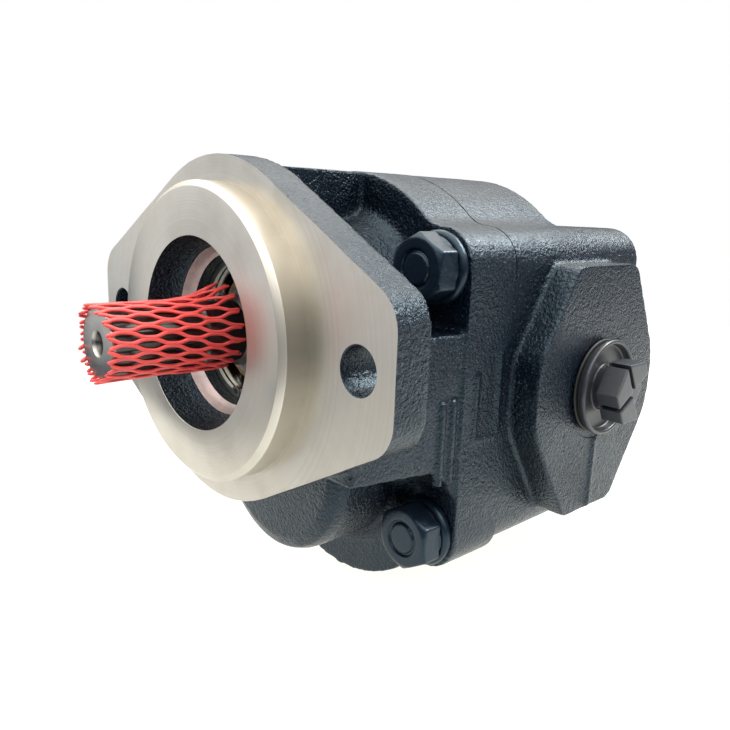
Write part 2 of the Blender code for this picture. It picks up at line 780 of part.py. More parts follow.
def outboard_bearing():
    outer = turned("outer_ring", race_profile(BEARING_RADIUS, 21.6, False), closed=True)
    add_part(outer, "bearing_outer_ring", "bearing_steel")
    inner = turned("inner_ring", race_profile(16.9, SHAFT_RADIUS + GAP, True), closed=True)
    add_part(inner, "bearing_inner_ring", "bearing_steel")
    middle = BEARING_FRONT_Y + BEARING_WIDTH / 2
    angles = [math.tau * number / BALL_COUNT for number in range(BALL_COUNT)]
    places = [Vector((math.cos(angle), 0, math.sin(angle))) * BALL_CIRCLE_RADIUS for angle in angles]
    places = [where + Vector((0, middle, 0)) for where in places]
    cage = turned(
        "cage",
        [(18.4, middle - 5), (20.1, middle - 5), (20.1, middle + 5), (18.4, middle + 5)],
        closed=True,
    )
    pockets = [ball(f"pocket_{number}", BALL_RADIUS + GAP, where) for number, where in enumerate(places, 1)]
    combine(cage, "DIFFERENCE", pockets)
    add_part(cage, "bearing_cage", "bronze")
    for number, where in enumerate(places, 1):
        add_part(ball(f"ball_{number}", BALL_RADIUS, where), f"bearing_ball_{number}", "bearing_steel")


def ball(name, radius, centre):
    bm = bmesh.new()
    bmesh.ops.create_uvsphere(bm, u_segments=8, v_segments=6, radius=radius)
    return mesh_object(name, bm, centre=centre)


def retaining_ring():
    """A spring ring with a gap at the bottom and a lug on each side of the gap."""
    end = RETAINER_Y + RETAINER_WIDTH
    ring = turned(
        "retainer", [(24.9, RETAINER_Y), (28.1, RETAINER_Y), (28.1, end), (24.9, end)], closed=True
    )
    combine(ring, "DIFFERENCE", [box("retainer_gap", (-3.5, RETAINER_Y - 1, -30), (3.5, end + 1, -20))])
    lugs = [
        cylinder(f"lug_{side}", 2.4, RETAINER_Y, end, centre=(side * 5.2, 0, -24.4), steps=16)
        for side in (-1, 1)
    ]
    combine(ring, "UNION", lugs)
    holes = [
        cylinder(f"lug_hole_{side}", 1.0, RETAINER_Y - 1, end + 1, centre=(side * 5.2, 0, -24.0), steps=12)
        for side in (-1, 1)
    ]
    combine(ring, "DIFFERENCE", holes)
    return add_part(ring, "bearing_retaining_ring", "steel")


def shaft_seal():
    """A lip seal: a rim in the cover's seat, a web, and a lip that leans on the shaft."""
    front = SEAL_FRONT_Y
    rear = SEAL_FRONT_Y + SEAL_WIDTH
    lip = SHAFT_RADIUS + 0.35
    seal = turned(
        "shaft_lip_seal",
        [
            (13.6, front),
            (SEAL_RADIUS, front),
            (SEAL_RADIUS, rear),
            (17.6, rear),
            (17.6, front + 2.2),
            (15.0, front + 2.2),
            (14.4, front + 6.4),
            (lip, front + 5.4),
        ],
        closed=True,
    )
    return add_part(seal, "shaft_seal", "black_rubber")


def body_seal():
    ring = extruded("body_seal", [stadium_outline(35.4), stadium_outline(33.0)], SEAM_Y - 2.2, SEAM_Y)
    return add_part(ring, "body_seal_ring", "black_rubber")


def dowel_pins():
    for side, side_name in ((-1, "left"), (1, "right")):
        pin = turned(
            f"dowel_{side_name}",
            [
                (0, SEAM_Y - DOWEL_HALF_LENGTH),
                (DOWEL_RADIUS - 0.6, SEAM_Y - DOWEL_HALF_LENGTH),
                (DOWEL_RADIUS, SEAM_Y - DOWEL_HALF_LENGTH + 0.6),
                (DOWEL_RADIUS, SEAM_Y + DOWEL_HALF_LENGTH - 0.6),
                (DOWEL_RADIUS - 0.6, SEAM_Y + DOWEL_HALF_LENGTH),
                (0, SEAM_Y + DOWEL_HALF_LENGTH),
            ],
            centre=(side * DOWEL_X, 0, -CENTRE_DISTANCE / 2),
            steps=16,
        )
        add_part(pin, f"dowel_pin_{side_name}", "steel")


def cover_bolt(name, x, z):
    """A hexagon bolt: a dished head with a chamfered rim, a shank and its thread as one cylinder."""
    head_rear = PLATE_FRONT_Y - GAP - WASHER_THICKNESS - GAP
    head_front = head_rear - BOLT_HEAD_HEIGHT
    across_corners = BOLT_HEAD_ACROSS_FLATS / math.cos(math.pi / 6)
    head = cylinder(name, across_corners / 2, head_front, head_rear, centre=(x, 0, z), steps=6)
    rim = BOLT_HEAD_ACROSS_FLATS / 2
    crown = turned(
        f"{name}_crown",
        [
            (0, head_front),
            (rim - 0.6, head_front),
            (rim + 2.4, head_front + 1.7),
            (rim + 2.4, head_rear + 1),
            (0, head_rear + 1),
        ],
        centre=(x, 0, z),
        steps=24,
    )
    combine(head, "INTERSECT", [crown])
    dish_end = head_front + 0.8
    dish = cylinder(f"{name}_dish", 6.2, head_front - 1, dish_end, centre=(x, 0, z), steps=SMALL_STEPS)
    combine(head, "DIFFERENCE", [dish])
    shank = turned(
        f"{name}_shank",
        [
            (0, head_rear - 2),
            (BOLT_RADIUS, head_rear - 2),
            (BOLT_RADIUS, BOLT_END_Y - 1.2),
            (BOLT_RADIUS - 1.2, BOLT_END_Y),
            (0, BOLT_END_Y),
        ],
        centre=(x, 0, z),
        steps=SMALL_STEPS,
    )
    combine(head, "UNION", [shank])
    return add_part(head, name, "bolt_paint")


def bolt_washer(name, x, z):
    front = PLATE_FRONT_Y - GAP - WASHER_THICKNESS
    rear = PLATE_FRONT_Y - GAP
    washer = turned(
        f"{name}_body",
        [
            (BOLT_RADIUS + 0.5, front),
            (WASHER_RADIUS - 0.5, front),
            (WASHER_RADIUS, front + 0.5),
            (WASHER_RADIUS, rear),
            (BOLT_RADIUS + 0.5, rear),
        ],
        centre=(x, 0, z),
        closed=True,
        steps=24,
    )
    return add_part(washer, name, "bolt_paint")


def cover_bolts():
    names = ("upper_left", "upper_right", "lower_left", "lower_right")
    for where, (x, z) in zip(names, bolt_places()):
        cover_bolt(f"cover_bolt_{where}", x, z)
        bolt_washer(f"bolt_washer_{where}", x, z)


def head_cuts(side):
    """The cross of slots in a plug's head, and the quarter of the head that is cut back."""
    centre = (0, PORT_Y, PORT_Z)
    slot_ends = sorted(side * (BOSS_FACE_X + along) for along in (PLUG_HEAD_START + 0.6, PLUG_HEAD_END + 1))
    outlines = [bar_outline(40, PLUG_SLOT_WIDTH, angle) for angle in PLUG_SLOT_ANGLES]
    cuts = [
        extruded(f"plug_slot_{number}", [outline], *slot_ends, turn=OUTLINE_YZ, centre=centre)
        for number, outline in enumerate(outlines, 1)
    ]
    quarter_start = PLUG_HEAD_END - PLUG_LOW_QUARTER_DEPTH
    quarter_ends = sorted(side * (BOSS_FACE_X + along) for along in (quarter_start, PLUG_HEAD_END + 1))
    angles = [PLUG_LOW_QUARTER + turn for turn in (-math.pi / 4, 0, math.pi / 4)]
    quarter = [(0, 0)] + [(24 * math.cos(angle), 24 * math.sin(angle)) for angle in angles]
    cuts.append(extruded("plug_quarter", [quarter], *quarter_ends, turn=OUTLINE_YZ, centre=centre))
    return cuts


def port_plug(side_name, side):
    """A moulded plug: a hollow body in the port, a cupped flange, a neck and a slotted hexagon head."""
    turn = AXIS_X if side > 0 else AXIS_MINUS_X
    centre = (0, PORT_Y, PORT_Z)
    flange_inner = BOSS_FACE_X + PLUG_FLANGE_START
    flange_outer = BOSS_FACE_X + PLUG_FLANGE_END
    dish_floor = BOSS_FACE_X + PLUG_DISH_FLOOR
    head_start = BOSS_FACE_X + PLUG_HEAD_START
    head_end = BOSS_FACE_X + PLUG_HEAD_END
    body_end = BOSS_FACE_X - PLUG_BODY_DEPTH
    plug = turned(
        f"plug_{side_name}",
        [
            (12.0, body_end),
            (PORT_RADIUS - 1.4, body_end),
            (PORT_RADIUS - 0.4, body_end + 1.2),
            (PORT_RADIUS - 0.4, flange_inner - 1.5),
            (PORT_RADIUS - 0.8, flange_inner),
            (PLUG_FLANGE_RADIUS, flange_inner),
            (PLUG_FLANGE_RADIUS, flange_outer - 0.5),
            (PLUG_FLANGE_RADIUS - 0.5, flange_outer),
            (PLUG_DISH_RADIUS + 0.3, flange_outer),
            (PLUG_DISH_RADIUS, flange_outer - 0.4),
            (PLUG_DISH_RADIUS - 0.4, dish_floor),
            (PLUG_NECK_RADIUS, dish_floor),
            (PLUG_NECK_RADIUS, head_start + 0.3),
            (0, head_start + 0.3),
            (0, dish_floor - 1.8),
            (12.0, dish_floor - 1.8),
        ],
        turn=turn,
        centre=centre,
        closed=True,
        steps=28,
    )
    head_ends = sorted((side * head_start, side * head_end))
    outline = hexagon_outline(PLUG_ACROSS_FLATS)
    head = extruded(f"plug_head_{side_name}", [outline], *head_ends, turn=OUTLINE_YZ, centre=centre)
    combine(plug, "UNION", [head])
    combine(plug, "DIFFERENCE", head_cuts(side))
    add_part(plug, f"port_plug_{side_name}", "plug_plastic")
    seal = turned(
        f"plug_seal_{side_name}",
        [
            (PORT_RADIUS + 0.6, BOSS_FACE_X - 0.1),
            (19.0, BOSS_FACE_X - 0.1),
            (19.0, flange_inner - 0.3),
            (PORT_RADIUS + 0.6, flange_inner - 0.3),
        ],
        turn=turn,
        centre=centre,
        closed=True,
        steps=28,
    )
    add_part(seal, f"plug_seal_washer_{side_name}", "black_rubber")


def net_sleeve():
    """The outer shape of the net that protects the shaft end, wider towards the pump."""
    sleeve = turned(
        "net",
        [
            (11.7, -46),
            (12.5, -46),
            (12.3, -34),
            (12.2, -18),
            (14.0, -4),
            (15.5, 4),
            (14.7, 4),
            (13.2, -4),
            (11.45, -18),
            (11.55, -34),
        ],
        closed=True,
        steps=28,
    )
    return add_part(sleeve, "shaft_net_sleeve", "red_net")


clear_scene()
PARTS = new_collection("hydraulic_gear_pump")
CUTTERS = new_collection("cutters")
SURFACES = {name: new_material(name) for name in MATERIALS}

front_cover()
gear_housing()
drive_gear_shaft()
driven_gear_shaft()
chamber_contents()
outboard_bearing()
retaining_ring()
shaft_seal()
body_seal()
dowel_pins()
cover_bolts()
port_plug("right", 1)
port_plug("left", -1)
net_sleeve()
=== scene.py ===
import json
import math

import bmesh
import bpy
from mathutils import Matrix, Vector, noise

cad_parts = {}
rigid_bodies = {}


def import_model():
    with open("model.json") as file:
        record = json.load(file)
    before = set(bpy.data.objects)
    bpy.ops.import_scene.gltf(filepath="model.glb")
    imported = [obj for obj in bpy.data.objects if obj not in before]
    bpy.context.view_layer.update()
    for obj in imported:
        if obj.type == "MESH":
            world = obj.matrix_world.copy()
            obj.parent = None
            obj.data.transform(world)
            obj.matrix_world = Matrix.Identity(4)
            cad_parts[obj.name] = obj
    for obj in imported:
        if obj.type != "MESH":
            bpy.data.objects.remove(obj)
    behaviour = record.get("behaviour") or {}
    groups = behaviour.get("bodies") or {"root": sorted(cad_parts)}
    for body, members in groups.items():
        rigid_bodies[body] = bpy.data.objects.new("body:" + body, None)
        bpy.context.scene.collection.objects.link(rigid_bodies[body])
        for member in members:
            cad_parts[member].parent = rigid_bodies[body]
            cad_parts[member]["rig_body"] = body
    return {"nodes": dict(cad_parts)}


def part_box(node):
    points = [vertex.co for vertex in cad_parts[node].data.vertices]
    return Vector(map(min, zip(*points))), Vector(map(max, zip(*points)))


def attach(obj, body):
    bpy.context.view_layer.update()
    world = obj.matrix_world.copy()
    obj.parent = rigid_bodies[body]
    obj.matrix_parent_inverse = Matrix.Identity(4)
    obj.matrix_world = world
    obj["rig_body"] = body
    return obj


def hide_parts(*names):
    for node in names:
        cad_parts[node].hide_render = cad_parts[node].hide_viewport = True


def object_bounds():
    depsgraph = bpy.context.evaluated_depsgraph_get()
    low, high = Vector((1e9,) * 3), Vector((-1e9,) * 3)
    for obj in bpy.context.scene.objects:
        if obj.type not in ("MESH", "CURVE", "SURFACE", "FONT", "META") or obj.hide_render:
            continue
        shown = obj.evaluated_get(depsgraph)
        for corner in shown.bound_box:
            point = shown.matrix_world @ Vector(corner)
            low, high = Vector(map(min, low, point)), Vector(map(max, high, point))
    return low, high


# The looks of the hydraulic gear pump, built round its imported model.
#
# Lengths are in millimetres, and MM turns them into metres. The drive shaft lies along Y with its free
# end at -Y, the mounting face of the flange is at y = 0, X runs sideways through the ports, and Z is up.
# The profile of a turned piece is a list of (radius, place along its axis).

MM = 0.001

# Mounting flange and pilot
PILOT_RADIUS = 50.8
PILOT_HEIGHT = 9.4
PILOT_CHAMFER = 1.9
FLANGE_THICKNESS = 13.6
FLANGE_ARC_RADIUS = 59.5
FLANGE_SIDE_SLOPE = math.radians(28.8)
FLANGE_HALF_WIDTH = 87.6
FLANGE_CORNER_RADIUS = 13.0
FLANGE_HOLE_X = 73.0
FLANGE_HOLE_RADIUS = 7.15

# Recess behind the pilot, and the seats in it
RECESS_RADIUS = 32.9
RECESS_CURVE = [(32.2, -3.6), (31.4, -0.8), (30.5, 1.0)]
LEDGE_RADIUS = 29.5
LEDGE_CURVE = [(LEDGE_RADIUS, 2.4), (28.6, 4.4), (27.8, 5.8)]
LEDGE_INNER_RADIUS = 26.9
LEDGE_END_Y = 6.5
RING_GROOVE_RADIUS = 28.4
RING_GROOVE_FRONT_Y = 10.9
RING_GROOVE_REAR_Y = 12.75
SEAL_SEAT_RADIUS = 20.3
SEAL_SEAT_FRONT_Y = 28.3
SEAL_SEAT_REAR_Y = 38.5
SHAFT_WAY_RADIUS = 15.8
DRIVEN_WAY_RADIUS = 16.5

# Gears
CENTRE_DISTANCE = 49.0
DRIVEN_CENTRE = (0, -CENTRE_DISTANCE)
TEETH = 12
PRESSURE_ANGLE = math.radians(25)
TIP_RADIUS = 28.5
ROOT_RADIUS = 19.6
TOOTH_THINNING = 0.025
JOURNAL_RADIUS = 15.0
CHAMBER_RADIUS = 28.9
CHAMBER_END_Y = 163.3
GEAR_FRONT_Y = 116.6
GEAR_REAR_Y = 146.6

# Body
DOME_RADIUS = 57.5
DOME_TANGENT = math.radians(50)
BODY_HALF_WIDTH = 62.4
SHOULDER_Z = 39.0
SHOULDER_RADIUS = 14.4
HOUSING_LOWER_INSET = 2.0
REAR_INSET = 0.2
PLATE_FRONT_Y = 60.0
SEAM_Y = 85.0
SEAM_FRONT_Y = 84.8
SEAM_REAR_Y = 85.5
DOME_END_Y = 136.0
REAR_Y = 175.0
SEAL_TRACK_OUTER_RADIUS = 35.8
SEAL_TRACK_INNER_RADIUS = 32.6
SEAL_TRACK_DEPTH = 2.5
DOWEL_X = 46.0
DOWEL_HOLE_RADIUS = 4.3
DOWEL_HOLE_DEPTH = 8.3

# Neck of the front cover: turned round each shaft, with a web between them and a rib on top
UPPER_NECK = [(0, 0), (46, 0), (46, 13), (42, 15.5), (39.8, 20), (39.3, 25), (39.3, 50), (41, 56)]
LOWER_NECK = [(0, 24), (33, 24), (37.4, 26), (38.7, 30), (38.7, 52), (41, 57)]
NECK_FOOT = [(45, 61), (45, 66), (0, 66)]
NECK_HALF_WIDTH = 38
WEB_HALF_WIDTH = 61.2
WEB_TOP_Z = 4.0
WEB_LOW_Z = -41.0
RIB_HALF_WIDTH = 6.4

# Cast ridges on the right side of the cover, each a block between two corners
COVER_RIDGES = [
    ((BODY_HALF_WIDTH - 3, 78.6, -37.0), (BODY_HALF_WIDTH + 1.1, 80.2, -4.0)),
    ((BODY_HALF_WIDTH - 3, 66.0, -37.0), (BODY_HALF_WIDTH + 0.9, 67.4, -12.0)),
    ((BODY_HALF_WIDTH - 3, 66.0, -37.0), (BODY_HALF_WIDTH + 0.9, 80.2, -35.6)),
    ((WEB_HALF_WIDTH - 2, 49.4, -50.0), (WEB_HALF_WIDTH + 1.2, 51.4, -20.0)),
    ((WEB_HALF_WIDTH - 2, 55.0, -50.0), (WEB_HALF_WIDTH + 1.2, 57.0, -20.0)),
]

# Ports and plugs
PORT_CENTRE = (131.6, -22.5)
BOSS_FACE_X = 73.6
BOSS_ROOT_X = 50.0
SPOTFACE_RADIUS = 21.5
SPOTFACE_DEPTH = 0.4
PORT_RADIUS = 16.65
PORT_DEPTH = 18.0
PASSAGE_RADIUS = 12.0
THREAD_PITCH = 1.4
PLUG_FLATS = 23.0
PLUG_BORE_RADIUS = 12.0
PLUG_START_X = BOSS_FACE_X - 13.6
PLUG_RIM_RADIUS = 19.3
PLUG_FLANGE_START_X = BOSS_FACE_X + 1.0
PLUG_FLANGE_END_X = 78.5
PLUG_DISH_FLOOR_X = 75.1
PLUG_NECK_RADIUS = 9.0
PLUG_HEAD_START_X = 79.6
PLUG_END_X = 88.75
PLUG_LOW_QUARTER_DEPTH = 3.8
PLUG_SLOT_HALF_WIDTH = 1.0
PLUG_WASHER_HOLE_RADIUS = 17.3
PLUG_WASHER_RADIUS = 19.0
CUTTER_REACH = 20.0

# Shaft end and outboard bearing
SHAFT_RADIUS = 12.5
SHAFT_TIP_Y = -42.0
SHAFT_END_Y = CHAMBER_END_Y - 0.3
SPLINE_TEETH = 13
SPLINE_TIP_RADIUS = 10.9
SPLINE_ROOT_RADIUS = 9.4
SPLINE_END_Y = -8.0
COLLAR_RADIUS = 11.0
RELIEF_RADIUS = 10.7
RELIEF_END_Y = 6.0
BEARING_FRONT_Y = 13.0
BEARING_REAR_Y = 28.0
BEARING_RADIUS = 26.0
BALL_COUNT = 9
BALL_RADIUS = 3.97
BALL_CIRCLE_RADIUS = 19.25
SPRING_RING_FRONT_Y = 11.2
SPRING_RING_REAR_Y = 12.6

# Cover bolts and their washers
BOLT_X = 48.0
BOLT_HIGH_Z = 24.4
BOLT_LOW_Z = -73.4
BOLT_RADIUS = 7.0
BOLT_FLATS = 22.0
BOLT_FRONT_Y = 47.4
BOLT_HEAD_REAR_Y = 56.6
BOLT_END_Y = 110.0
WASHER_RADIUS = 13.1
WASHER_HOLE_RADIUS = 7.6
WASHER_FRONT_Y = 56.9
WASHER_REAR_Y = 59.7

# Net over the shaft end, with its radius at places along Y
NET_RADII = [(-46.0, 12.05), (-34.0, 11.85), (-20.0, 11.75), (-8.0, 12.5), (4.0, 14.8)]
NET_CELLS = 18
NET_START_Y = -45.4
NET_TIP_Y = -43.4
NET_MIDDLE_Y = -20.0
NET_END_Y = 3.2
NET_HALF_CELL = 7.6
NET_TWIST = 0.2
NET_FLARE_START_Y = -14.0
NET_FLARE_RISE = 3.0
STRAND_RADIUS = 0.58
STRAND_HALF_GAP = 0.27
STRAND_SQUARENESS = 0.35
STRAND_WOBBLE = 0.035
STRAND_WANDER = 0.25
NET_SLANT_UP = 1.3
NET_SLANT_SIDE = 0.9
NET_RAGGED_START = 1.6
NET_RAGGED_END = 1.5

CAST_VOXEL = 0.8
CAST_SMOOTHING = 7
SMOOTH_STEPS = 96
PAINT_TINT = (0.56, 0.82, 1.0, 1.0)

for startup_object in list(bpy.data.objects):
    bpy.data.objects.remove(startup_object)
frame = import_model()
CAD_BOX = [list(corner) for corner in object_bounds()]


# ---------------- outlines


def rounded_outline(corners, arc_step=math.radians(6)):
    """Points round a polygon given as (across, up, radius) corners, each rounded to its radius."""
    points = []
    for index, (across, up, radius) in enumerate(corners):
        corner = Vector((across, up))
        back = (Vector(corners[index - 1][:2]) - corner).normalized()
        ahead = (Vector(corners[(index + 1) % len(corners)][:2]) - corner).normalized()
        if radius == 0:
            points.append(tuple(corner))
            continue
        half = back.angle(ahead) / 2
        middle = corner + (back + ahead).normalized() * radius / math.sin(half)
        first = corner + back * radius / math.tan(half) - middle
        last = corner + ahead * radius / math.tan(half) - middle
        start = math.atan2(first.y, first.x)
        sweep = math.atan2(last.y, last.x) - start
        sweep = (sweep + math.pi) % math.tau - math.pi
        count = max(1, math.ceil(abs(sweep) / arc_step))
        for step in range(count + 1):
            angle = start + sweep * step / count
            point = (middle.x + radius * math.cos(angle), middle.y + radius * math.sin(angle))
            if not points or math.dist(point, points[-1]) > 0.05:
                points.append(point)
    return points


def both_sides(right_corners):
    """The corners of an outline that is the same on both sides, from those on its right."""
    left = [(-across, up, radius) for across, up, radius in reversed(right_corners) if across != 0]
    return right_corners + left


def flange_outline():
    apex = FLANGE_ARC_RADIUS / math.cos(FLANGE_SIDE_SLOPE)
    end = apex - math.tan(FLANGE_SIDE_SLOPE) * FLANGE_HALF_WIDTH
    corners = [
        (0, apex, FLANGE_ARC_RADIUS),
        (FLANGE_HALF_WIDTH, end, FLANGE_CORNER_RADIUS),
        (FLANGE_HALF_WIDTH, -end, FLANGE_CORNER_RADIUS),
        (0, -apex, FLANGE_ARC_RADIUS),
    ]
    return rounded_outline(both_sides(corners))


def body_outline(lower_inset=0.0):
    """The body seen along the shafts: a dome round each gear between square shoulders."""
    apex = DOME_RADIUS / math.sin(DOME_TANGENT)

    def valley(height):
        return (DOME_RADIUS - height * math.sin(DOME_TANGENT)) / math.cos(DOME_TANGENT)

    def valley_radius(height, width, corner_radius):
        flat = width - corner_radius - valley(height)
        return flat / math.tan((math.pi / 2 - DOME_TANGENT) / 2)

    low_height = SHOULDER_Z - lower_inset
    low_z = -CENTRE_DISTANCE - low_height
    low_width = BODY_HALF_WIDTH - lower_inset
    low_radius = SHOULDER_RADIUS - lower_inset / 2
    high_valley_radius = valley_radius(SHOULDER_Z, BODY_HALF_WIDTH, SHOULDER_RADIUS)
    low_valley_radius = valley_radius(low_height, low_width, low_radius)
    corners = [
        (0, apex, DOME_RADIUS),
        (valley(SHOULDER_Z), SHOULDER_Z, high_valley_radius),
        (BODY_HALF_WIDTH, SHOULDER_Z, SHOULDER_RADIUS),
        (low_width, low_z, low_radius),
        (valley(low_height), low_z, low_valley_radius),
        (0, -CENTRE_DISTANCE - apex, DOME_RADIUS),
    ]
    return rounded_outline(both_sides(corners))


def rear_outline():
    width = BODY_HALF_WIDTH - REAR_INSET
    high = SHOULDER_Z - REAR_INSET
    low = -CENTRE_DISTANCE - SHOULDER_Z + HOUSING_LOWER_INSET + REAR_INSET
    corners = [
        (width, high, SHOULDER_RADIUS),
        (width - HOUSING_LOWER_INSET, low, SHOULDER_RADIUS - HOUSING_LOWER_INSET / 2),
    ]
    return rounded_outline(both_sides(corners))


def boss_outline():
    """A port boss seen from the side, along Y and up."""
    corners = [
        (109.0, 25.6, 4.0),
        (153.0, 25.6, 8.0),
        (174.5, -12.0, 25.0),
        (174.5, -37.0, 25.0),
        (149.5, -74.8, 8.0),
        (114.0, -74.8, 5.0),
        (88.5, -35.0, 22.0),
        (88.5, -9.0, 22.0),
    ]
    return rounded_outline(corners)


def web_outline():
    """The web between the flange and the bolt plate, along Y and up."""
    corners = [
        (FLANGE_THICKNESS - 4, WEB_TOP_Z, 0),
        (PLATE_FRONT_Y + 4, WEB_TOP_Z - 1, 0),
        (PLATE_FRONT_Y + 4, WEB_LOW_Z - 22, 0),
        (PLATE_FRONT_Y - 9, WEB_LOW_Z - 4, 14.0),
        (FLANGE_THICKNESS - 4, WEB_LOW_Z, 0),
    ]
    return rounded_outline(corners)


def stadium_outline(radius, steps=SMOOTH_STEPS // 2):
    """A track round both gears."""
    upper = [math.pi * step / steps for step in range(steps + 1)]
    top = [(radius * math.cos(angle), radius * math.sin(angle)) for angle in upper]
    bottom = [(-across, -up - CENTRE_DISTANCE) for across, up in top]
    return top + bottom


def hexagon_outline(across_flats, first_angle):
    radius = across_flats / 2 / math.cos(math.pi / 6)
    angles = [first_angle + math.tau * side / 6 for side in range(6)]
    return [(radius * math.cos(angle), radius * math.sin(angle)) for angle in angles]


def involute(base_radius, radius):
    slant = math.acos(min(1.0, base_radius / radius))
    return math.tan(slant) - slant


def gear_outline(first_angle):
    pitch_radius = CENTRE_DISTANCE / 2
    base_radius = pitch_radius * math.cos(PRESSURE_ANGLE)
    half_tooth = math.pi / TEETH * (0.5 - TOOTH_THINNING)
    base_half = half_tooth + involute(base_radius, pitch_radius)
    radii = [ROOT_RADIUS] + [base_radius + (TIP_RADIUS - base_radius) * step / 8 for step in range(9)]
    flank = [(radius, base_half - involute(base_radius, max(radius, base_radius))) for radius in radii]
    points = []
    for tooth in range(TEETH):
        centre = first_angle + math.tau * tooth / TEETH
        rising = [(radius, centre - offset) for radius, offset in flank]
        falling = [(radius, centre + offset) for radius, offset in reversed(flank)]
        for radius, angle in rising + falling:
            points.append((radius * math.cos(angle), radius * math.sin(angle)))
    return points


def spline_outline():
    points = []
    pitch = math.tau / SPLINE_TEETH
    root = SPLINE_ROOT_RADIUS
    tip = SPLINE_TIP_RADIUS
    middle = (root + tip) / 2
    tooth = [(root, -0.38), (root, -0.33), (middle, -0.25), (tip, -0.16)]
    tooth += [(radius, -share) for radius, share in reversed(tooth)]
    for index in range(SPLINE_TEETH):
        for radius, share in tooth:
            angle = pitch * (index + share)
            points.append((radius * math.cos(angle), radius * math.sin(angle)))
    return points


# ---------------- solids


def at(axis, across, up, along):
    """A point of a piece whose length lies along the axis, in metres."""
    if axis == "Y":
        return Vector((across, along, up)) * MM
    return Vector((along, across, up)) * MM


def prism(outline, start, end, axis="Y", centre=(0, 0)):
    """A flat piece from its outline, between two places along the axis."""
    bm = bmesh.new()
    rings = []
    for along in (start, end):
        places = [at(axis, centre[0] + across, centre[1] + up, along) for across, up in outline]
        rings.append([bm.verts.new(place) for place in places])
    bm.faces.new(rings[0])
    bm.faces.new(rings[1])
    count = len(outline)
    for index in range(count):
        following = (index + 1) % count
        bm.faces.new((rings[0][index], rings[0][following], rings[1][following], rings[1][index]))
    bmesh.ops.triangulate(bm, faces=[face for face in bm.faces if len(face.verts) > 4])
    bmesh.ops.recalc_face_normals(bm, faces=bm.faces)
    return bm


def side_prism(outline, side, inner, outer, centre=(0, 0)):
    """A prism along X on one side of the pump, between its inner and its outer place."""
    start, end = sorted((side * inner, side * outer))
    return prism(outline, start, end, "X", centre)


def block(low, high):
    bm = bmesh.new()
    low = Vector(low) * MM
    high = Vector(high) * MM
    bmesh.ops.create_cube(bm, size=1)
    bmesh.ops.scale(bm, vec=high - low, verts=bm.verts)
    bmesh.ops.translate(bm, vec=(low + high) / 2, verts=bm.verts)
    return bm


def turned(profile, axis="Y", centre=(0, 0), closed=False, steps=SMOOTH_STEPS, side=1):
    """A turned piece. The profile is (radius, place along the axis); side -1 turns it end for end."""
    bm = bmesh.new()
    rings = []
    for radius, along in profile:
        if radius == 0:
            rings.append([bm.verts.new(at(axis, centre[0], centre[1], side * along))])
            continue
        ring = []
        for step in range(steps):
            angle = math.tau * step / steps
            across = centre[0] + radius * math.cos(angle)
            up = centre[1] + radius * math.sin(angle)
            ring.append(bm.verts.new(at(axis, across, up, side * along)))
        rings.append(ring)
    pairs = list(zip(rings, rings[1:]))
    if closed:
        pairs.append((rings[-1], rings[0]))
    for ring, other in pairs:
        if len(ring) == len(other) == 1:
            continue
        for step in range(steps):
            after = (step + 1) % steps
            if len(ring) == 1:
                bm.faces.new((ring[0], other[after], other[step]))
            elif len(other) == 1:
                bm.faces.new((ring[step], ring[after], other[0]))
            else:
                bm.faces.new((ring[step], ring[after], other[after], other[step]))
    bmesh.ops.recalc_face_normals(bm, faces=bm.faces)
    return bm


def rod(radius, start, end, centre=(0, 0), steps=SMOOTH_STEPS):
    return turned([(0, start), (radius, start), (radius, end), (0, end)], centre=centre, steps=steps)


def gathered(name, solids):
    """One object holding all the solids."""
    mesh = bpy.data.meshes.new(name)
    whole = bmesh.new()
    for solid in solids:
        solid.to_mesh(mesh)
        solid.free()
        whole.from_mesh(mesh)
    whole.to_mesh(mesh)
    whole.free()
    obj = bpy.data.objects.new(name, mesh)
    bpy.context.scene.collection.objects.link(obj)
    return obj


def settled(obj):
    """Works the object's modifiers into its mesh."""
    bpy.context.view_layer.update()
    evaluated = obj.evaluated_get(bpy.context.evaluated_depsgraph_get())
    mesh = bpy.data.meshes.new_from_object(evaluated)
    obj.modifiers.clear()
    obj.data = mesh
    mesh.name = obj.name
    return obj


def softened(obj, voxel, rounds):
    """Melts overlapping solids into one skin with rounded edges and filled corners."""
    remesh = obj.modifiers.new("skin", "REMESH")
    remesh.mode = "VOXEL"
    remesh.voxel_size = voxel * MM
    smooth = obj.modifiers.new("rounding", "SMOOTH")
    smooth.iterations = rounds
    return settled(obj)


def combined(obj, operation, solids):
    """Adds, cuts or intersects the object with each solid in turn."""
    tools = [gathered(f"{obj.name}_tool_{number}", [solid]) for number, solid in enumerate(solids)]
    for tool in tools:
        boolean = obj.modifiers.new(tool.name, "BOOLEAN")
        boolean.operation = operation
        boolean.solver = "MANIFOLD"
        boolean.object = tool
    settled(obj)
    for tool in tools:
        bpy.data.objects.remove(tool)


def uneven(obj, height, size, seed):
    """Moves the skin in and out a little, as on a sand casting."""
    mesh = obj.data
    offset = Vector((seed, seed * 2, seed * 3))
    places = [vertex.co.copy() for vertex in mesh.vertices]
    normals = [vertex.normal.copy() for vertex in mesh.vertices]
    moved = []
    for place, normal in zip(places, normals):
        push = noise.noise(place / (size * MM) + offset)
        moved.extend(place + normal * push * height * MM)
    mesh.vertices.foreach_set("co", moved)
    mesh.update()


def piece(obj, node, slot, look=None, sharp=34):
    """Finishes a piece that stands for a node and rides on its body, with its slot's look or another."""
    obj.data.materials.clear()
    obj.data.materials.append(LOOKS[look or slot])
    obj.data.shade_smooth()
    obj.data.set_sharp_from_angle(angle=math.radians(sharp))
    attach(obj, frame["nodes"][node]["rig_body"])
    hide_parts(node)


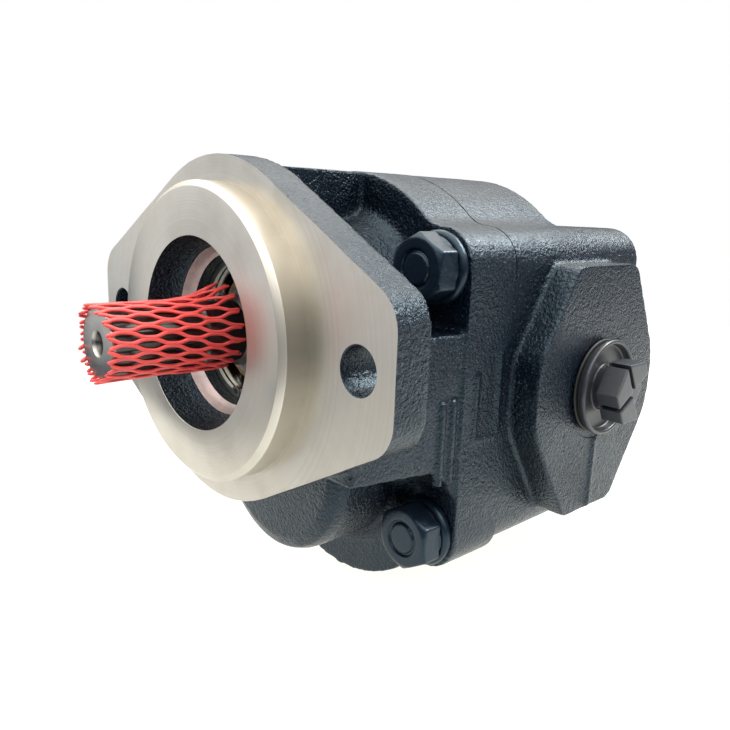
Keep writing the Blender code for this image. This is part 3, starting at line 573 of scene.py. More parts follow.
def split_off(obj, name, wanted):
    """Moves the faces that wanted(face) picks into an object of their own."""
    other = obj.copy()
    other.data = obj.data.copy()
    other.name = name
    other.data.name = name
    bpy.context.scene.collection.objects.link(other)
    for target, keep in ((obj, False), (other, True)):
        bm = bmesh.new()
        bm.from_mesh(target.data)
        gone = [face for face in bm.faces if wanted(face) != keep]
        bmesh.ops.delete(bm, geom=gone, context="FACES")
        bm.to_mesh(target.data)
        bm.free()
    return other


# ---------------- materials


def feed(tree, node, inputs):
    """Links the node's inputs to sockets, or sets them to values."""
    for key, value in inputs.items():
        if isinstance(value, bpy.types.NodeSocket):
            tree.links.new(value, node.inputs[key])
        else:
            node.inputs[key].default_value = value


def add(tree, kind, inputs=(), **settings):
    """A new node with its settings and its inputs."""
    node = tree.nodes.new(kind)
    for setting, value in settings.items():
        setattr(node, setting, value)
    feed(tree, node, dict(inputs))
    return node


def new_material(name):
    """(a new material, its node tree, the place of each point on the object)"""
    material = bpy.data.materials.new(name)
    material.use_nodes = True
    tree = material.node_tree
    return material, tree, add(tree, "ShaderNodeTexCoord").outputs["Object"]


def finished(material, inputs):
    """The material, once its shader has these inputs."""
    tree = material.node_tree
    feed(tree, tree.nodes["Principled BSDF"], inputs)
    return material


def grain(tree, place, scale, detail=2.0, roughness=0.5):
    settings = {"Vector": place, "Scale": scale, "Detail": detail, "Roughness": roughness}
    return add(tree, "ShaderNodeTexNoise", settings).outputs[0]


def ranged(tree, value, low, high, out_low=0.0, out_high=1.0):
    settings = {"Value": value, "From Min": low, "From Max": high, "To Min": out_low, "To Max": out_high}
    return add(tree, "ShaderNodeMapRange", settings).outputs[0]


def maths(tree, operation, first, second=0.0):
    return add(tree, "ShaderNodeMath", {0: first, 1: second}, operation=operation).outputs[0]


def vector_maths(tree, operation, first, second=(0, 0, 0), output=0):
    node = add(tree, "ShaderNodeVectorMath", {0: first, 1: second}, operation=operation)
    return node.outputs[output]


def blended(tree, share, first, second):
    """A colour between two colours."""
    colours = {0: share, 6: first, 7: second}
    for key in (6, 7):
        if isinstance(colours[key], tuple):
            colours[key] = (*colours[key], 1.0)
    return add(tree, "ShaderNodeMix", colours, data_type="RGBA").outputs[2]


def bump(tree, height, distance, strength, normal=None):
    settings = {"Height": height, "Distance": distance * MM, "Strength": strength}
    if normal:
        settings["Normal"] = normal
    return add(tree, "ShaderNodeBump", settings).outputs[0]


def cast_paint():
    """Glossy blue-black paint over sand-cast iron, whose grain shows more in some places, with painted
    glints: pale specks in the base colour that stand in for highlights.
    """
    material, tree, place = new_material("cast_paint_look")
    sand = ranged(tree, grain(tree, place, 780, 3.0, 0.62), 0.30, 0.70)
    pits = ranged(tree, grain(tree, place, 520), 0.60, 0.72)
    peel = grain(tree, place, 330)
    coarse = ranged(tree, grain(tree, place, 30), 0.40, 0.62, 0.55, 1.0)
    specks = ranged(tree, grain(tree, place, 900, 2.0, 0.6), 0.50, 0.72)
    # Painted glints: pale specks put into the base colour as highlights, most where the grain is coarse.
    painted_glints = ranged(tree, grain(tree, place, 1250, 1.0), 0.66, 0.74, 0.0, 0.5)
    tone = blended(tree, specks, (0.0003, 0.0016, 0.0056), (0.0085, 0.0130, 0.0200))
    low = bump(tree, peel, 0.30, 0.30)
    middle = bump(tree, maths(tree, "SUBTRACT", 1.0, pits), 0.35, 0.45, low)
    inputs = {
        "Base Color": blended(tree, maths(tree, "MULTIPLY", painted_glints, coarse), tone, (0.13, 0.15, 0.17)),
        "Roughness": ranged(tree, peel, 0.35, 0.65, 0.17, 0.27),
        "Specular Tint": PAINT_TINT,
        "Normal": bump(tree, sand, 0.32, coarse, middle),
    }
    return finished(material, inputs)


def bolt_paint():
    """The same paint, thick and smooth over forged bolts."""
    material, tree, place = new_material("bolt_paint_look")
    peel = grain(tree, place, 420)
    fine = grain(tree, place, 1400)
    tone = blended(tree, grain(tree, place, 90, 3.0), (0.002, 0.005, 0.011), (0.006, 0.011, 0.020))
    inputs = {
        "Base Color": tone,
        "Roughness": ranged(tree, peel, 0.3, 0.7, 0.26, 0.36),
        "Specular Tint": PAINT_TINT,
        "Normal": bump(tree, fine, 0.08, 0.6, bump(tree, peel, 0.25, 0.5)),
    }
    return finished(material, inputs)


def bare_casting():
    """Cast iron left bare and rough, with a thin reddish bloom."""
    material, tree, place = new_material("bare_casting_look")
    sand = grain(tree, place, 800, 4.0, 0.65)
    bloom = grain(tree, place, 130, 3.0)
    reddish = ranged(tree, bloom, 0.35, 0.65)
    colour = blended(tree, reddish, (0.52, 0.46, 0.45), (0.70, 0.58, 0.55))
    inputs = {
        "Base Color": colour,
        "Metallic": 0.75,
        "Roughness": ranged(tree, sand, 0.3, 0.7, 0.42, 0.6),
        "Normal": bump(tree, sand, 0.25, 0.8),
    }
    return finished(material, inputs)


def turning_marks(tree, place, pitch):
    """(the height of fine rings round the Y axis, a value that varies from ring to ring, the tangent)."""
    flat = vector_maths(tree, "MULTIPLY", place, (1, 0, 1))
    radius = vector_maths(tree, "LENGTH", flat, output="Value")
    wave = maths(tree, "SINE", maths(tree, "MULTIPLY", radius, math.tau / (pitch * MM)))
    along = add(tree, "ShaderNodeCombineXYZ", {0: radius}).outputs[0]
    rings = grain(tree, along, 900, 3.0, 0.7)
    around = vector_maths(tree, "CROSS_PRODUCT", place, (0, 1, 0))
    tangent = vector_maths(tree, "NORMALIZE", around)
    height = maths(tree, "ADD", maths(tree, "MULTIPLY", wave, 0.35), rings)
    return height, rings, tangent


def machined_iron():
    """Bare iron faced on a lathe: fine rings, a satin sheen that follows them, and faint blotches."""
    material, tree, place = new_material("machined_iron_look")
    height, rings, tangent = turning_marks(tree, place, 1.05)
    blotches = grain(tree, place, 60, 4.0, 0.6)
    bright = ranged(tree, rings, 0.3, 0.7)
    tone = blended(tree, bright, (0.50, 0.475, 0.42), (0.58, 0.555, 0.50))
    colour = blended(tree, ranged(tree, blotches, 0.45, 0.75, 0.0, 0.45), tone, (0.44, 0.40, 0.34))
    inputs = {
        "Base Color": colour,
        "Metallic": 1.0,
        "Roughness": ranged(tree, blotches, 0.3, 0.7, 0.34, 0.42),
        "Anisotropic": 0.55,
        "Tangent": tangent,
        "Normal": bump(tree, height, 0.030, 0.45),
    }
    return finished(material, inputs)


def ground_steel(name, colour, roughness, marks, darkened_from=None):
    """Bright steel turned or ground round the Y axis, darker beyond darkened_from along Y."""
    material, tree, place = new_material(name)
    height, rings, tangent = turning_marks(tree, place, marks)
    stains = grain(tree, place, 150, 4.0, 0.6)
    dark = tuple(part * 0.72 for part in colour)
    tone = blended(tree, ranged(tree, stains, 0.4, 0.75, 0.0, 0.7), colour, dark)
    # Beyond that place along Y the colour is blended to a much darker grey.
    if darkened_from is not None:
        along = add(tree, "ShaderNodeSeparateXYZ", {0: place}).outputs[1]
        dark_share = ranged(tree, along, darkened_from * MM, (darkened_from + 0.6) * MM)
        tone = blended(tree, dark_share, tone, (0.13, 0.125, 0.12))
    inputs = {
        "Base Color": tone,
        "Metallic": 1.0,
        "Roughness": ranged(tree, rings, 0.3, 0.7, roughness - 0.05, roughness + 0.06),
        "Anisotropic": 0.15,
        "Tangent": tangent,
        "Normal": bump(tree, height, 0.006, 0.3),
    }
    return finished(material, inputs)


def speckled(name, scale, detail, colours, metallic, roughness, depth):
    """A plain material with fine specks between two colours, standing a little proud."""
    material, tree, place = new_material(name)
    specks = grain(tree, place, scale, detail)
    relief = bump(tree, specks, depth, 0.4)
    colour = blended(tree, specks, *colours)
    inputs = {"Base Color": colour, "Metallic": metallic, "Roughness": roughness, "Normal": relief}
    return finished(material, inputs)


def bronze():
    return speckled("bronze_look", 700, 3.0, ((0.52, 0.34, 0.16), (0.66, 0.47, 0.25)), 1.0, 0.36, 0.02)


def aluminium():
    return speckled("aluminium_look", 500, 4.0, ((0.60, 0.60, 0.61), (0.74, 0.74, 0.75)), 1.0, 0.4, 0.03)


def rubber():
    colours = ((0.012, 0.012, 0.012), (0.024, 0.024, 0.023))
    return speckled("rubber_look", 1200, 2.0, colours, 0.0, 0.55, 0.03)


def moulded_plastic():
    """Black polyethylene with a fine moulded grain and the scuffs of handling."""
    material, tree, place = new_material("moulded_plastic_look")
    fine = grain(tree, place, 1300)
    scuffs = ranged(tree, grain(tree, place, 420, 5.0, 0.75), 0.58, 0.72, 0.0, 0.5)
    colour = blended(tree, scuffs, (0.026, 0.030, 0.038), (0.075, 0.082, 0.092))
    inputs = {
        "Base Color": colour,
        "Roughness": ranged(tree, fine, 0.3, 0.7, 0.28, 0.38),
        "IOR": 1.52,
        "Normal": bump(tree, fine, 0.05, 0.5),
    }
    return finished(material, inputs)


def net_plastic():
    """Red stretched polyethylene: glossy, a little see-through, streaked along the strands."""
    material, tree, place = new_material("net_plastic_look")
    stretched = vector_maths(tree, "MULTIPLY", place, (1, 0.2, 1))
    streaks = grain(tree, stretched, 900, 3.0)
    colour = blended(tree, streaks, (0.66, 0.045, 0.045), (0.86, 0.115, 0.105))
    inputs = {
        "Base Color": colour,
        "Roughness": ranged(tree, streaks, 0.3, 0.7, 0.3, 0.45),
        "Subsurface Weight": 0.25,
        "Subsurface Radius": (1.0, 0.12, 0.08),
        "Subsurface Scale": 0.0008,
        "Normal": bump(tree, streaks, 0.05, 0.5),
    }
    return finished(material, inputs)


LOOKS = {
    "cast_paint": cast_paint(),
    "bolt_paint": bolt_paint(),
    "machined_iron": machined_iron(),
    "bare_casting": bare_casting(),
    "steel": ground_steel("steel_look", (0.44, 0.44, 0.41), 0.34, 0.5),
    "shaft_steel": ground_steel("shaft_steel_look", (0.42, 0.42, 0.39), 0.36, 0.5, SHAFT_TIP_Y + 0.6),
    "bearing_steel": ground_steel("bearing_steel_look", (0.60, 0.59, 0.57), 0.2, 0.3),
    "bronze": bronze(),
    "aluminium": aluminium(),
    "black_rubber": rubber(),
    "plug_plastic": moulded_plastic(),
    "red_net": net_plastic(),
}


# ---------------- castings


def bolt_places():
    return [(side * BOLT_X, z) for z in (BOLT_HIGH_Z, BOLT_LOW_Z) for side in (-1, 1)]


def bolt_holes(radius, start, end):
    return [rod(radius, start, end, centre=place, steps=40) for place in bolt_places()]


def dowel_holes(start, end):
    places = [(side * DOWEL_X, -CENTRE_DISTANCE / 2) for side in (-1, 1)]
    return [rod(DOWEL_HOLE_RADIUS, start, end, centre=place, steps=32) for place in places]


def cast(name, solids, seed):
    """A sand casting: the solids melted into one skin, which is uneven both broadly and finely."""
    casting = softened(gathered(name, solids), CAST_VOXEL, CAST_SMOOTHING)
    uneven(casting, 0.12, 16.0, seed)
    uneven(casting, 0.06, 3.0, seed + 1.0)
    return casting


def pilot():
    edge = PILOT_CHAMFER - PILOT_HEIGHT
    inner = PILOT_RADIUS - PILOT_CHAMFER
    profile = [
        (0, 3),
        (PILOT_RADIUS, 3),
        (PILOT_RADIUS, edge),
        (PILOT_RADIUS - 0.25, edge - 0.35),
        (inner, -PILOT_HEIGHT + 0.1),
        (inner - 0.3, -PILOT_HEIGHT),
        (0, -PILOT_HEIGHT),
    ]
    return turned(profile, steps=2 * SMOOTH_STEPS)


def recess():
    """The cast recess, the seats of retaining ring, bearing and seal, and the way for the shaft."""
    front = -PILOT_HEIGHT - 1
    rear = SEAM_Y + 1
    seat_radius = BEARING_RADIUS + 0.3
    profile = [(0, front), (RECESS_RADIUS + 0.8, front), (RECESS_RADIUS, -PILOT_HEIGHT + 0.08)]
    profile += RECESS_CURVE + LEDGE_CURVE
    profile += [
        (LEDGE_INNER_RADIUS, LEDGE_END_Y),
        (LEDGE_INNER_RADIUS, RING_GROOVE_FRONT_Y),
        (RING_GROOVE_RADIUS, RING_GROOVE_FRONT_Y),
        (RING_GROOVE_RADIUS, RING_GROOVE_REAR_Y),
        (seat_radius, RING_GROOVE_REAR_Y),
        (seat_radius, SEAL_SEAT_FRONT_Y),
        (SEAL_SEAT_RADIUS, SEAL_SEAT_FRONT_Y),
        (SEAL_SEAT_RADIUS, SEAL_SEAT_REAR_Y),
        (SHAFT_WAY_RADIUS, SEAL_SEAT_REAR_Y),
        (SHAFT_WAY_RADIUS, rear),
        (0, rear),
    ]
    return turned(profile, steps=2 * SMOOTH_STEPS)


def way_at_seam(radius, centre=(0, 0)):
    """The way for a shaft through the face at the seam."""
    return rod(radius, SEAM_Y - 4, SEAM_Y + 1, centre=centre)


def flange_hole(side):
    radius = FLANGE_HOLE_RADIUS
    profile = [(0, -1), (radius + 1.4, -1), (radius, 0.4), (radius, 15), (0, 15)]
    return turned(profile, centre=(side * FLANGE_HOLE_X, 0))


def cover_cuts():
    track = prism(stadium_outline(SEAL_TRACK_OUTER_RADIUS), SEAM_Y - SEAL_TRACK_DEPTH, SEAM_Y + 1)
    cuts = [recess(), way_at_seam(DRIVEN_WAY_RADIUS, DRIVEN_CENTRE), track]
    cuts += bolt_holes(BOLT_RADIUS + 0.6, 58.0, SEAM_Y + 1)
    cuts += dowel_holes(SEAM_Y - DOWEL_HOLE_DEPTH, SEAM_Y + 1)
    return cuts + [flange_hole(-1), flange_hole(1)]


def is_faced(face):
    """Whether a face of the cover is machined: not behind the mounting face, and outside the recess."""
    radius = min(math.hypot(vertex.co.x, vertex.co.z) for vertex in face.verts) / MM
    last_y = max(vertex.co.y for vertex in face.verts) / MM
    return last_y < 0.02 and radius > RECESS_RADIUS - 0.05


def is_ledge(face):
    """Whether a face of the cover is on the bare ledge in the recess."""
    radii = [math.hypot(vertex.co.x, vertex.co.z) / MM for vertex in face.verts]
    if min(radii) < LEDGE_INNER_RADIUS - 0.1 or max(radii) > LEDGE_RADIUS + 0.05:
        return False
    return max(vertex.co.y for vertex in face.verts) / MM < LEDGE_END_Y + 0.05


def front_cover():
    solids = [
        prism(flange_outline(), -4.0, FLANGE_THICKNESS),
        prism(body_outline(), PLATE_FRONT_Y, SEAM_Y + 4),
        turned(UPPER_NECK + NECK_FOOT),
        turned(LOWER_NECK + NECK_FOOT, centre=DRIVEN_CENTRE),
        block((-NECK_HALF_WIDTH, 25, -CENTRE_DISTANCE), (NECK_HALF_WIDTH, 68, 0)),
        prism(web_outline(), -WEB_HALF_WIDTH, WEB_HALF_WIDTH, axis="X"),
        block((-RIB_HALF_WIDTH, 6, 30), (RIB_HALF_WIDTH, 68, DOME_RADIUS - 0.6)),
    ]
    solids += [block(low, high) for low, high in COVER_RIDGES]
    cover = cast("front_cover_casting", solids, 1.0)
    front_waste = block((-100, -20, -80), (100, 0, 80))
    rear_waste = block((-80, SEAM_FRONT_Y, -120), (80, 100, 80))
    island = prism(stadium_outline(SEAL_TRACK_INNER_RADIUS), SEAM_Y - 2.6, SEAM_FRONT_Y)
    ways = [way_at_seam(SHAFT_WAY_RADIUS), way_at_seam(DRIVEN_WAY_RADIUS, DRIVEN_CENTRE)]
    combined(cover, "DIFFERENCE", [front_waste, rear_waste])
    combined(cover, "UNION", [pilot()])
    combined(cover, "DIFFERENCE", cover_cuts())
    combined(cover, "UNION", [island])
    combined(cover, "DIFFERENCE", ways)
    faced = split_off(cover, "flange_machined_faces", is_faced)
    ledge = split_off(cover, "recess_bare_ledge", is_ledge)
    piece(ledge, "front_cover", "steel", look="bare_casting")
    piece(cover, "front_cover", "cast_paint")
    piece(faced, "front_cover", "steel", look="machined_iron", sharp=20)


def thread(low_radius, high_radius, start, end):
    """The profile of the thread turns that begin between start and end."""
    profile = []
    along = start
    while along < end:
        profile += [(low_radius, along), (high_radius, along + THREAD_PITCH / 2)]
        along += THREAD_PITCH
    return profile


def port_cut(side):
    """A threaded port with its chamfer and spotface, and the passage to the gears."""
    inner = BOSS_FACE_X - PORT_DEPTH
    face = BOSS_FACE_X - SPOTFACE_DEPTH
    profile = [(0, PASSAGE_RADIUS + 2), (PASSAGE_RADIUS, PASSAGE_RADIUS + 2), (PASSAGE_RADIUS, inner)]
    profile += thread(PORT_RADIUS - 0.25, PORT_RADIUS + 0.25, inner, BOSS_FACE_X - 3.4)
    profile += [
        (PORT_RADIUS, BOSS_FACE_X - 2),
        (PORT_RADIUS + 1.2, face),
        (SPOTFACE_RADIUS, face),
        (SPOTFACE_RADIUS + 1.4, BOSS_FACE_X + 1),
        (0, BOSS_FACE_X + 1),
    ]
    return turned(profile, axis="X", centre=PORT_CENTRE, side=side)


def parting_line(side):
    """The thin flash ridge under each port."""
    port_y, port_z = PORT_CENTRE
    start, end = sorted((side * (BOSS_FACE_X - 3), side * (BOSS_FACE_X + 1.0)))
    return block((start, port_y - 1.0, port_z - 51.5), (end, port_y + 1.0, port_z - 20.0))


def gear_housing():
    solids = [
        prism(body_outline(HOUSING_LOWER_INSET), SEAM_Y - 4, DOME_END_Y),
        prism(rear_outline(), DOME_END_Y - 20, REAR_Y),
    ]
    for side in (-1, 1):
        solids.append(side_prism(boss_outline(), side, BOSS_ROOT_X, BOSS_FACE_X))
        solids.append(parting_line(side))
    housing = cast("gear_housing_casting", solids, 5.0)
    cuts = [
        block((-80, 60, -120), (80, SEAM_REAR_Y, 80)),
        rod(CHAMBER_RADIUS, SEAM_Y - 1, CHAMBER_END_Y),
        rod(CHAMBER_RADIUS, SEAM_Y - 1, CHAMBER_END_Y, centre=DRIVEN_CENTRE),
        port_cut(1),
        port_cut(-1),
    ]
    cuts += bolt_holes(BOLT_RADIUS + 0.3, SEAM_Y - 1, BOLT_END_Y + 2)
    cuts += dowel_holes(SEAM_Y - 1, SEAM_Y + DOWEL_HOLE_DEPTH)
    combined(housing, "DIFFERENCE", cuts)
    piece(housing, "gear_housing", "cast_paint")


# ---------------- bolts and plugs


def bolt_head(name, centre):
    """A forged hexagon head with a rounded crown, a ring pressed into its face and a collar."""
    front = BOLT_FRONT_Y
    rear = BOLT_HEAD_REAR_Y
    crown = [(0, front - 1), (8.6, front - 1), (10.3, front), (13.4, front + 2.0)]
    crown += [(13.4, rear + 1), (0, rear + 1)]
    ring = [(5.5, front - 1), (6.8, front - 1), (6.8, front + 1.1), (5.5, front + 1.1)]
    collar = [(0, rear - 2), (10.6, rear - 2), (11.6, rear), (0, rear)]
    head = gathered(name, [prism(hexagon_outline(BOLT_FLATS, math.pi / 2), front, rear, centre=centre)])
    combined(head, "INTERSECT", [turned(crown, centre=centre)])
    combined(head, "DIFFERENCE", [turned(ring, centre=centre, closed=True)])
    combined(head, "UNION", [turned(collar, centre=centre)])
    return softened(head, 0.36, 14)


def cover_bolt(where, centre):
    bolt = bolt_head(f"cover_bolt_{where}_forged", centre)
    shank = rod(BOLT_RADIUS, BOLT_HEAD_REAR_Y - 1, BOLT_END_Y, centre=centre, steps=40)
    combined(bolt, "UNION", [shank])
    piece(bolt, f"cover_bolt_{where}", "bolt_paint")


def bolt_washer(where, centre):
    profile = [
        (WASHER_HOLE_RADIUS, WASHER_FRONT_Y),
        (WASHER_RADIUS - 1.6, WASHER_FRONT_Y),
        (WASHER_RADIUS - 0.8, WASHER_FRONT_Y + 0.2),
        (WASHER_RADIUS - 0.2, WASHER_FRONT_Y + 0.8),
        (WASHER_RADIUS, WASHER_FRONT_Y + 1.5),
        (WASHER_RADIUS, WASHER_REAR_Y),
        (WASHER_HOLE_RADIUS, WASHER_REAR_Y),
    ]
    washer = gathered(f"bolt_washer_{where}_painted", [turned(profile, centre=centre, closed=True)])
    piece(washer, f"bolt_washer_{where}", "bolt_paint")


def cover_bolts():
    names = ("upper_left", "upper_right", "lower_left", "lower_right")
    for where, centre in zip(names, bolt_places()):
        cover_bolt(where, centre)
        bolt_washer(where, centre)


def slot_cutter(angle, side):
    """A thin slab through the head of the plug, in line with it."""
    direction = Vector((math.cos(angle), math.sin(angle)))
    normal = Vector((-direction.y, direction.x)) * PLUG_SLOT_HALF_WIDTH
    far = direction * CUTTER_REACH
    corners = [tuple(corner) for corner in (far + normal, normal - far, -far - normal, far - normal)]
    return side_prism(corners, side, PLUG_HEAD_START_X + 0.6, PLUG_END_X + 2, PORT_CENTRE)


def quarter_cutter(first, last, side):
    """Takes the end off one quarter of the head."""
    corners = [(0.0, 0.0)]
    for angle in (first, (first + last) / 2, last):
        corners.append((CUTTER_REACH * math.cos(angle), CUTTER_REACH * math.sin(angle)))
    return side_prism(corners, side, PLUG_END_X - PLUG_LOW_QUARTER_DEPTH, PLUG_END_X + 2, PORT_CENTRE)


def plug_profile():
    """The threaded body of a plug, its cupped flange and its neck."""
    start = PLUG_START_X
    inner = PLUG_FLANGE_START_X
    outer = PLUG_FLANGE_END_X
    dish = PLUG_DISH_FLOOR_X
    root = PORT_RADIUS - 0.9
    rim = PLUG_RIM_RADIUS
    neck = PLUG_NECK_RADIUS
    head = PLUG_HEAD_START_X + 0.4
    profile = [(PLUG_BORE_RADIUS, start), (PORT_RADIUS - 1.4, start), (PORT_RADIUS - 0.7, start + 1.0)]
    profile += thread(root, PORT_RADIUS - 0.45, start + THREAD_PITCH, inner - 3.0)
    profile += [(root, inner - 1.2), (root, inner), (rim - 1.4, inner), (rim - 1.4, outer - 2.3)]
    profile += [(rim - 0.4, outer - 2.2), (rim, outer - 1.8), (rim, outer - 0.5), (rim - 0.4, outer - 0.1)]
    profile += [(rim - 0.9, outer), (rim - 1.4, outer - 0.1), (rim - 1.8, outer - 0.5)]
    profile += [(rim - 2.0, dish + 0.5), (rim - 2.4, dish), (neck + 0.6, dish), (neck, dish + 0.6)]
    return profile + [(neck, head), (0, head), (0, inner - 1.2), (PLUG_BORE_RADIUS, inner - 1.2)]


def port_plug(side, side_name):
    stem = turned(plug_profile(), "X", PORT_CENTRE, closed=True, side=side)
    plug = gathered(f"port_plug_{side_name}_moulded", [stem])
    hexagon = hexagon_outline(PLUG_FLATS, 0.0)
    combined(plug, "UNION", [side_prism(hexagon, side, PLUG_HEAD_START_X, PLUG_END_X, PORT_CENTRE)])
    cutters = [slot_cutter(math.radians(30), side), slot_cutter(math.radians(120), side)]
    cutters.append(quarter_cutter(math.radians(-60), math.radians(30), side))
    combined(plug, "DIFFERENCE", cutters)
    softened(plug, 0.32, 3)
    piece(plug, f"port_plug_{side_name}", "plug_plastic")


def plug_washer(side, side_name):
    profile = [
        (PLUG_WASHER_HOLE_RADIUS, BOSS_FACE_X - 0.1),
        (PLUG_WASHER_RADIUS - 0.3, BOSS_FACE_X - 0.1),
        (PLUG_WASHER_RADIUS, BOSS_FACE_X + 0.15),
        (PLUG_WASHER_RADIUS, BOSS_FACE_X + 0.45),
        (PLUG_WASHER_RADIUS - 0.3, BOSS_FACE_X + 0.7),
        (PLUG_WASHER_HOLE_RADIUS, BOSS_FACE_X + 0.7),
    ]
    ring = turned(profile, "X", PORT_CENTRE, closed=True, side=side)
    washer = gathered(f"plug_seal_washer_{side_name}_moulded", [ring])
    piece(washer, f"plug_seal_washer_{side_name}", "black_rubber")


def port_plugs():
    for side, side_name in ((-1, "left"), (1, "right")):
        port_plug(side, side_name)
        plug_washer(side, side_name)


# ---------------- shafts and bearing


def shaft_core():
    tip = SHAFT_TIP_Y
    profile = [
        (0, tip),
        (COLLAR_RADIUS - 0.4, tip),
        (COLLAR_RADIUS - 0.1, tip + 0.1),
        (COLLAR_RADIUS, tip + 0.4),
        (COLLAR_RADIUS, tip + 1.2),
        (SPLINE_ROOT_RADIUS - 0.2, tip + 2.0),
        (SPLINE_ROOT_RADIUS - 0.2, SPLINE_END_Y - 1.5),
        (RELIEF_RADIUS, SPLINE_END_Y),
        (RELIEF_RADIUS, RELIEF_END_Y),
        (SHAFT_RADIUS - 0.3, RELIEF_END_Y + 1.6),
        (SHAFT_RADIUS, RELIEF_END_Y + 1.9),
        (SHAFT_RADIUS, 42),
        (JOURNAL_RADIUS - 1, 44),
        (JOURNAL_RADIUS - 1, 86),
        (JOURNAL_RADIUS, 87),
        (JOURNAL_RADIUS, SHAFT_END_Y - 1),
        (JOURNAL_RADIUS - 1, SHAFT_END_Y),
        (0, SHAFT_END_Y),
    ]
    return turned(profile)


def spline_envelope():
    """What the ends of the splines keep inside."""
    run_out = SPLINE_END_Y - 0.6
    profile = [
        (0, SHAFT_TIP_Y),
        (SPLINE_TIP_RADIUS + 0.3, SHAFT_TIP_Y),
        (SPLINE_TIP_RADIUS + 0.3, SPLINE_END_Y - 2.2),
        (SPLINE_ROOT_RADIUS - 0.6, run_out),
        (0, run_out),
    ]
    return turned(profile)


def centre_hole():
    tip = SHAFT_TIP_Y
    cone = [(0, tip - 1), (4.9, tip - 1), (4.3, tip), (2.6, tip + 3.0)]
    return turned(cone + [(2.6, tip + 9), (0, tip + 10.5)])


def drive_shaft():
    shaft = gathered("drive_shaft_ground", [prism(spline_outline(), SHAFT_TIP_Y + 0.8, SPLINE_END_Y)])
    teeth = prism(gear_outline(-math.pi / 2), GEAR_FRONT_Y, GEAR_REAR_Y)
    combined(shaft, "INTERSECT", [spline_envelope()])
    combined(shaft, "UNION", [shaft_core(), teeth])
    combined(shaft, "DIFFERENCE", [centre_hole()])
    piece(shaft, "drive_gear_shaft", "steel", look="shaft_steel")


def ball_groove(side):
    """The profile of the groove in the outer ring (side 1) or the inner ring (side -1)."""
    middle = (BEARING_FRONT_Y + BEARING_REAR_Y) / 2
    reach = side * (BALL_RADIUS + 0.25)
    angles = [math.radians(angle) for angle in range(-40, 41, 10)]
    return [(BALL_CIRCLE_RADIUS + reach * math.cos(a), middle - reach * math.sin(a)) for a in angles]


def bearing_ring(node, profile):
    piece(gathered(f"{node}_ground", [turned(profile, closed=True)]), node, "bearing_steel")


def bearing_rings():
    front = BEARING_FRONT_Y
    rear = BEARING_REAR_Y
    edge = BEARING_RADIUS
    outer = [(22.3, front), (edge - 0.6, front), (edge, front + 0.6), (edge, rear - 0.6)]
    outer += [(edge - 0.6, rear), (22.3, rear)] + ball_groove(1)
    inner = [(12.8, rear), (12.8, front + 0.5), (13.2, front), (16.3, front)]
    inner += ball_groove(-1) + [(16.3, rear)]
    bearing_ring("bearing_outer_ring", outer)
    bearing_ring("bearing_inner_ring", inner)


def bearing_balls():
    for number in range(1, BALL_COUNT + 1):
        node = f"bearing_ball_{number}"
        low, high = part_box(node)
        bm = bmesh.new()
        bmesh.ops.create_icosphere(bm, subdivisions=4, radius=BALL_RADIUS * MM)
        bmesh.ops.translate(bm, vec=(low + high) / 2, verts=bm.verts)
        piece(gathered(f"{node}_lapped", [bm]), node, "bearing_steel")


def spring_ring():
    """The spring ring in its groove, with a lug and a hole on each side of its gap."""
    front = SPRING_RING_FRONT_Y
    rear = SPRING_RING_REAR_Y
    band = turned([(24.6, front), (28.1, front), (28.1, rear), (24.6, rear)], closed=True)
    ring = gathered("bearing_retaining_ring_sprung", [band])
    lugs = [rod(2.4, front, rear, centre=(side * 5.2, -24.4), steps=40) for side in (-1, 1)]
    holes = [rod(1.0, 10, 14, centre=(side * 5.2, -24.0), steps=24) for side in (-1, 1)]
    combined(ring, "DIFFERENCE", [block((-3.5, 10, -30), (3.5, 14, -20))])
    combined(ring, "UNION", lugs)
    combined(ring, "DIFFERENCE", holes)
    piece(ring, "bearing_retaining_ring", "steel")


# ---------------- net


def net_radius(y, angle):
    """The net hugs the shaft end, and opens out towards the pump, most of all at the top."""
    flare = max(0.0, (y - NET_FLARE_START_Y) / (NET_END_Y - NET_FLARE_START_Y))
    lift = NET_FLARE_RISE * flare**2 * math.sin(angle)
    for (start, first), (end, last) in zip(NET_RADII, NET_RADII[1:]):
        if y <= end:
            return first + (last - first) * (y - start) / (end - start) + lift
    return NET_RADII[-1][1] + lift


def strand_path(number, steps=64):
    """The points of one strand. Neighbouring strands run together, part, and meet the next ones."""
    pitch = math.tau / NET_CELLS
    swing = pitch / 4 - STRAND_HALF_GAP / net_radius(NET_MIDDLE_Y, 0.0)
    direction = 1 if number % 2 == 0 else -1
    base = (number + 0.5) * pitch / 2
    start = NET_TIP_Y - NET_SLANT_UP * max(0.0, math.sin(base)) + NET_SLANT_SIDE * max(0.0, -math.cos(base))
    start += NET_RAGGED_START * noise.noise(Vector((number * 3.1, 0.5, 9.0)))
    end = NET_END_Y - NET_RAGGED_END + NET_RAGGED_END * noise.noise(Vector((number * 2.3, 4.5, 2.0)))
    points = []
    for step in range(steps + 1):
        y = start + (end - start) * step / steps
        phase = math.cos(math.pi * (y - NET_START_Y) / NET_HALF_CELL)
        wave = (1 + STRAND_SQUARENESS) * phase - STRAND_SQUARENESS * phase**3
        angle = base - direction * swing * wave
        angle -= NET_TWIST * pitch * (y - NET_START_Y) / NET_HALF_CELL
        angle += STRAND_WOBBLE * noise.noise(Vector((number * 0.37, y * 0.07, 3.0)))
        wander = STRAND_WANDER * noise.noise(Vector((math.cos(angle) * 2, y * 0.12, math.sin(angle) * 2)))
        radius = net_radius(y, angle) + wander
        points.append(Vector((radius * math.cos(angle), y, radius * math.sin(angle))))
    return points


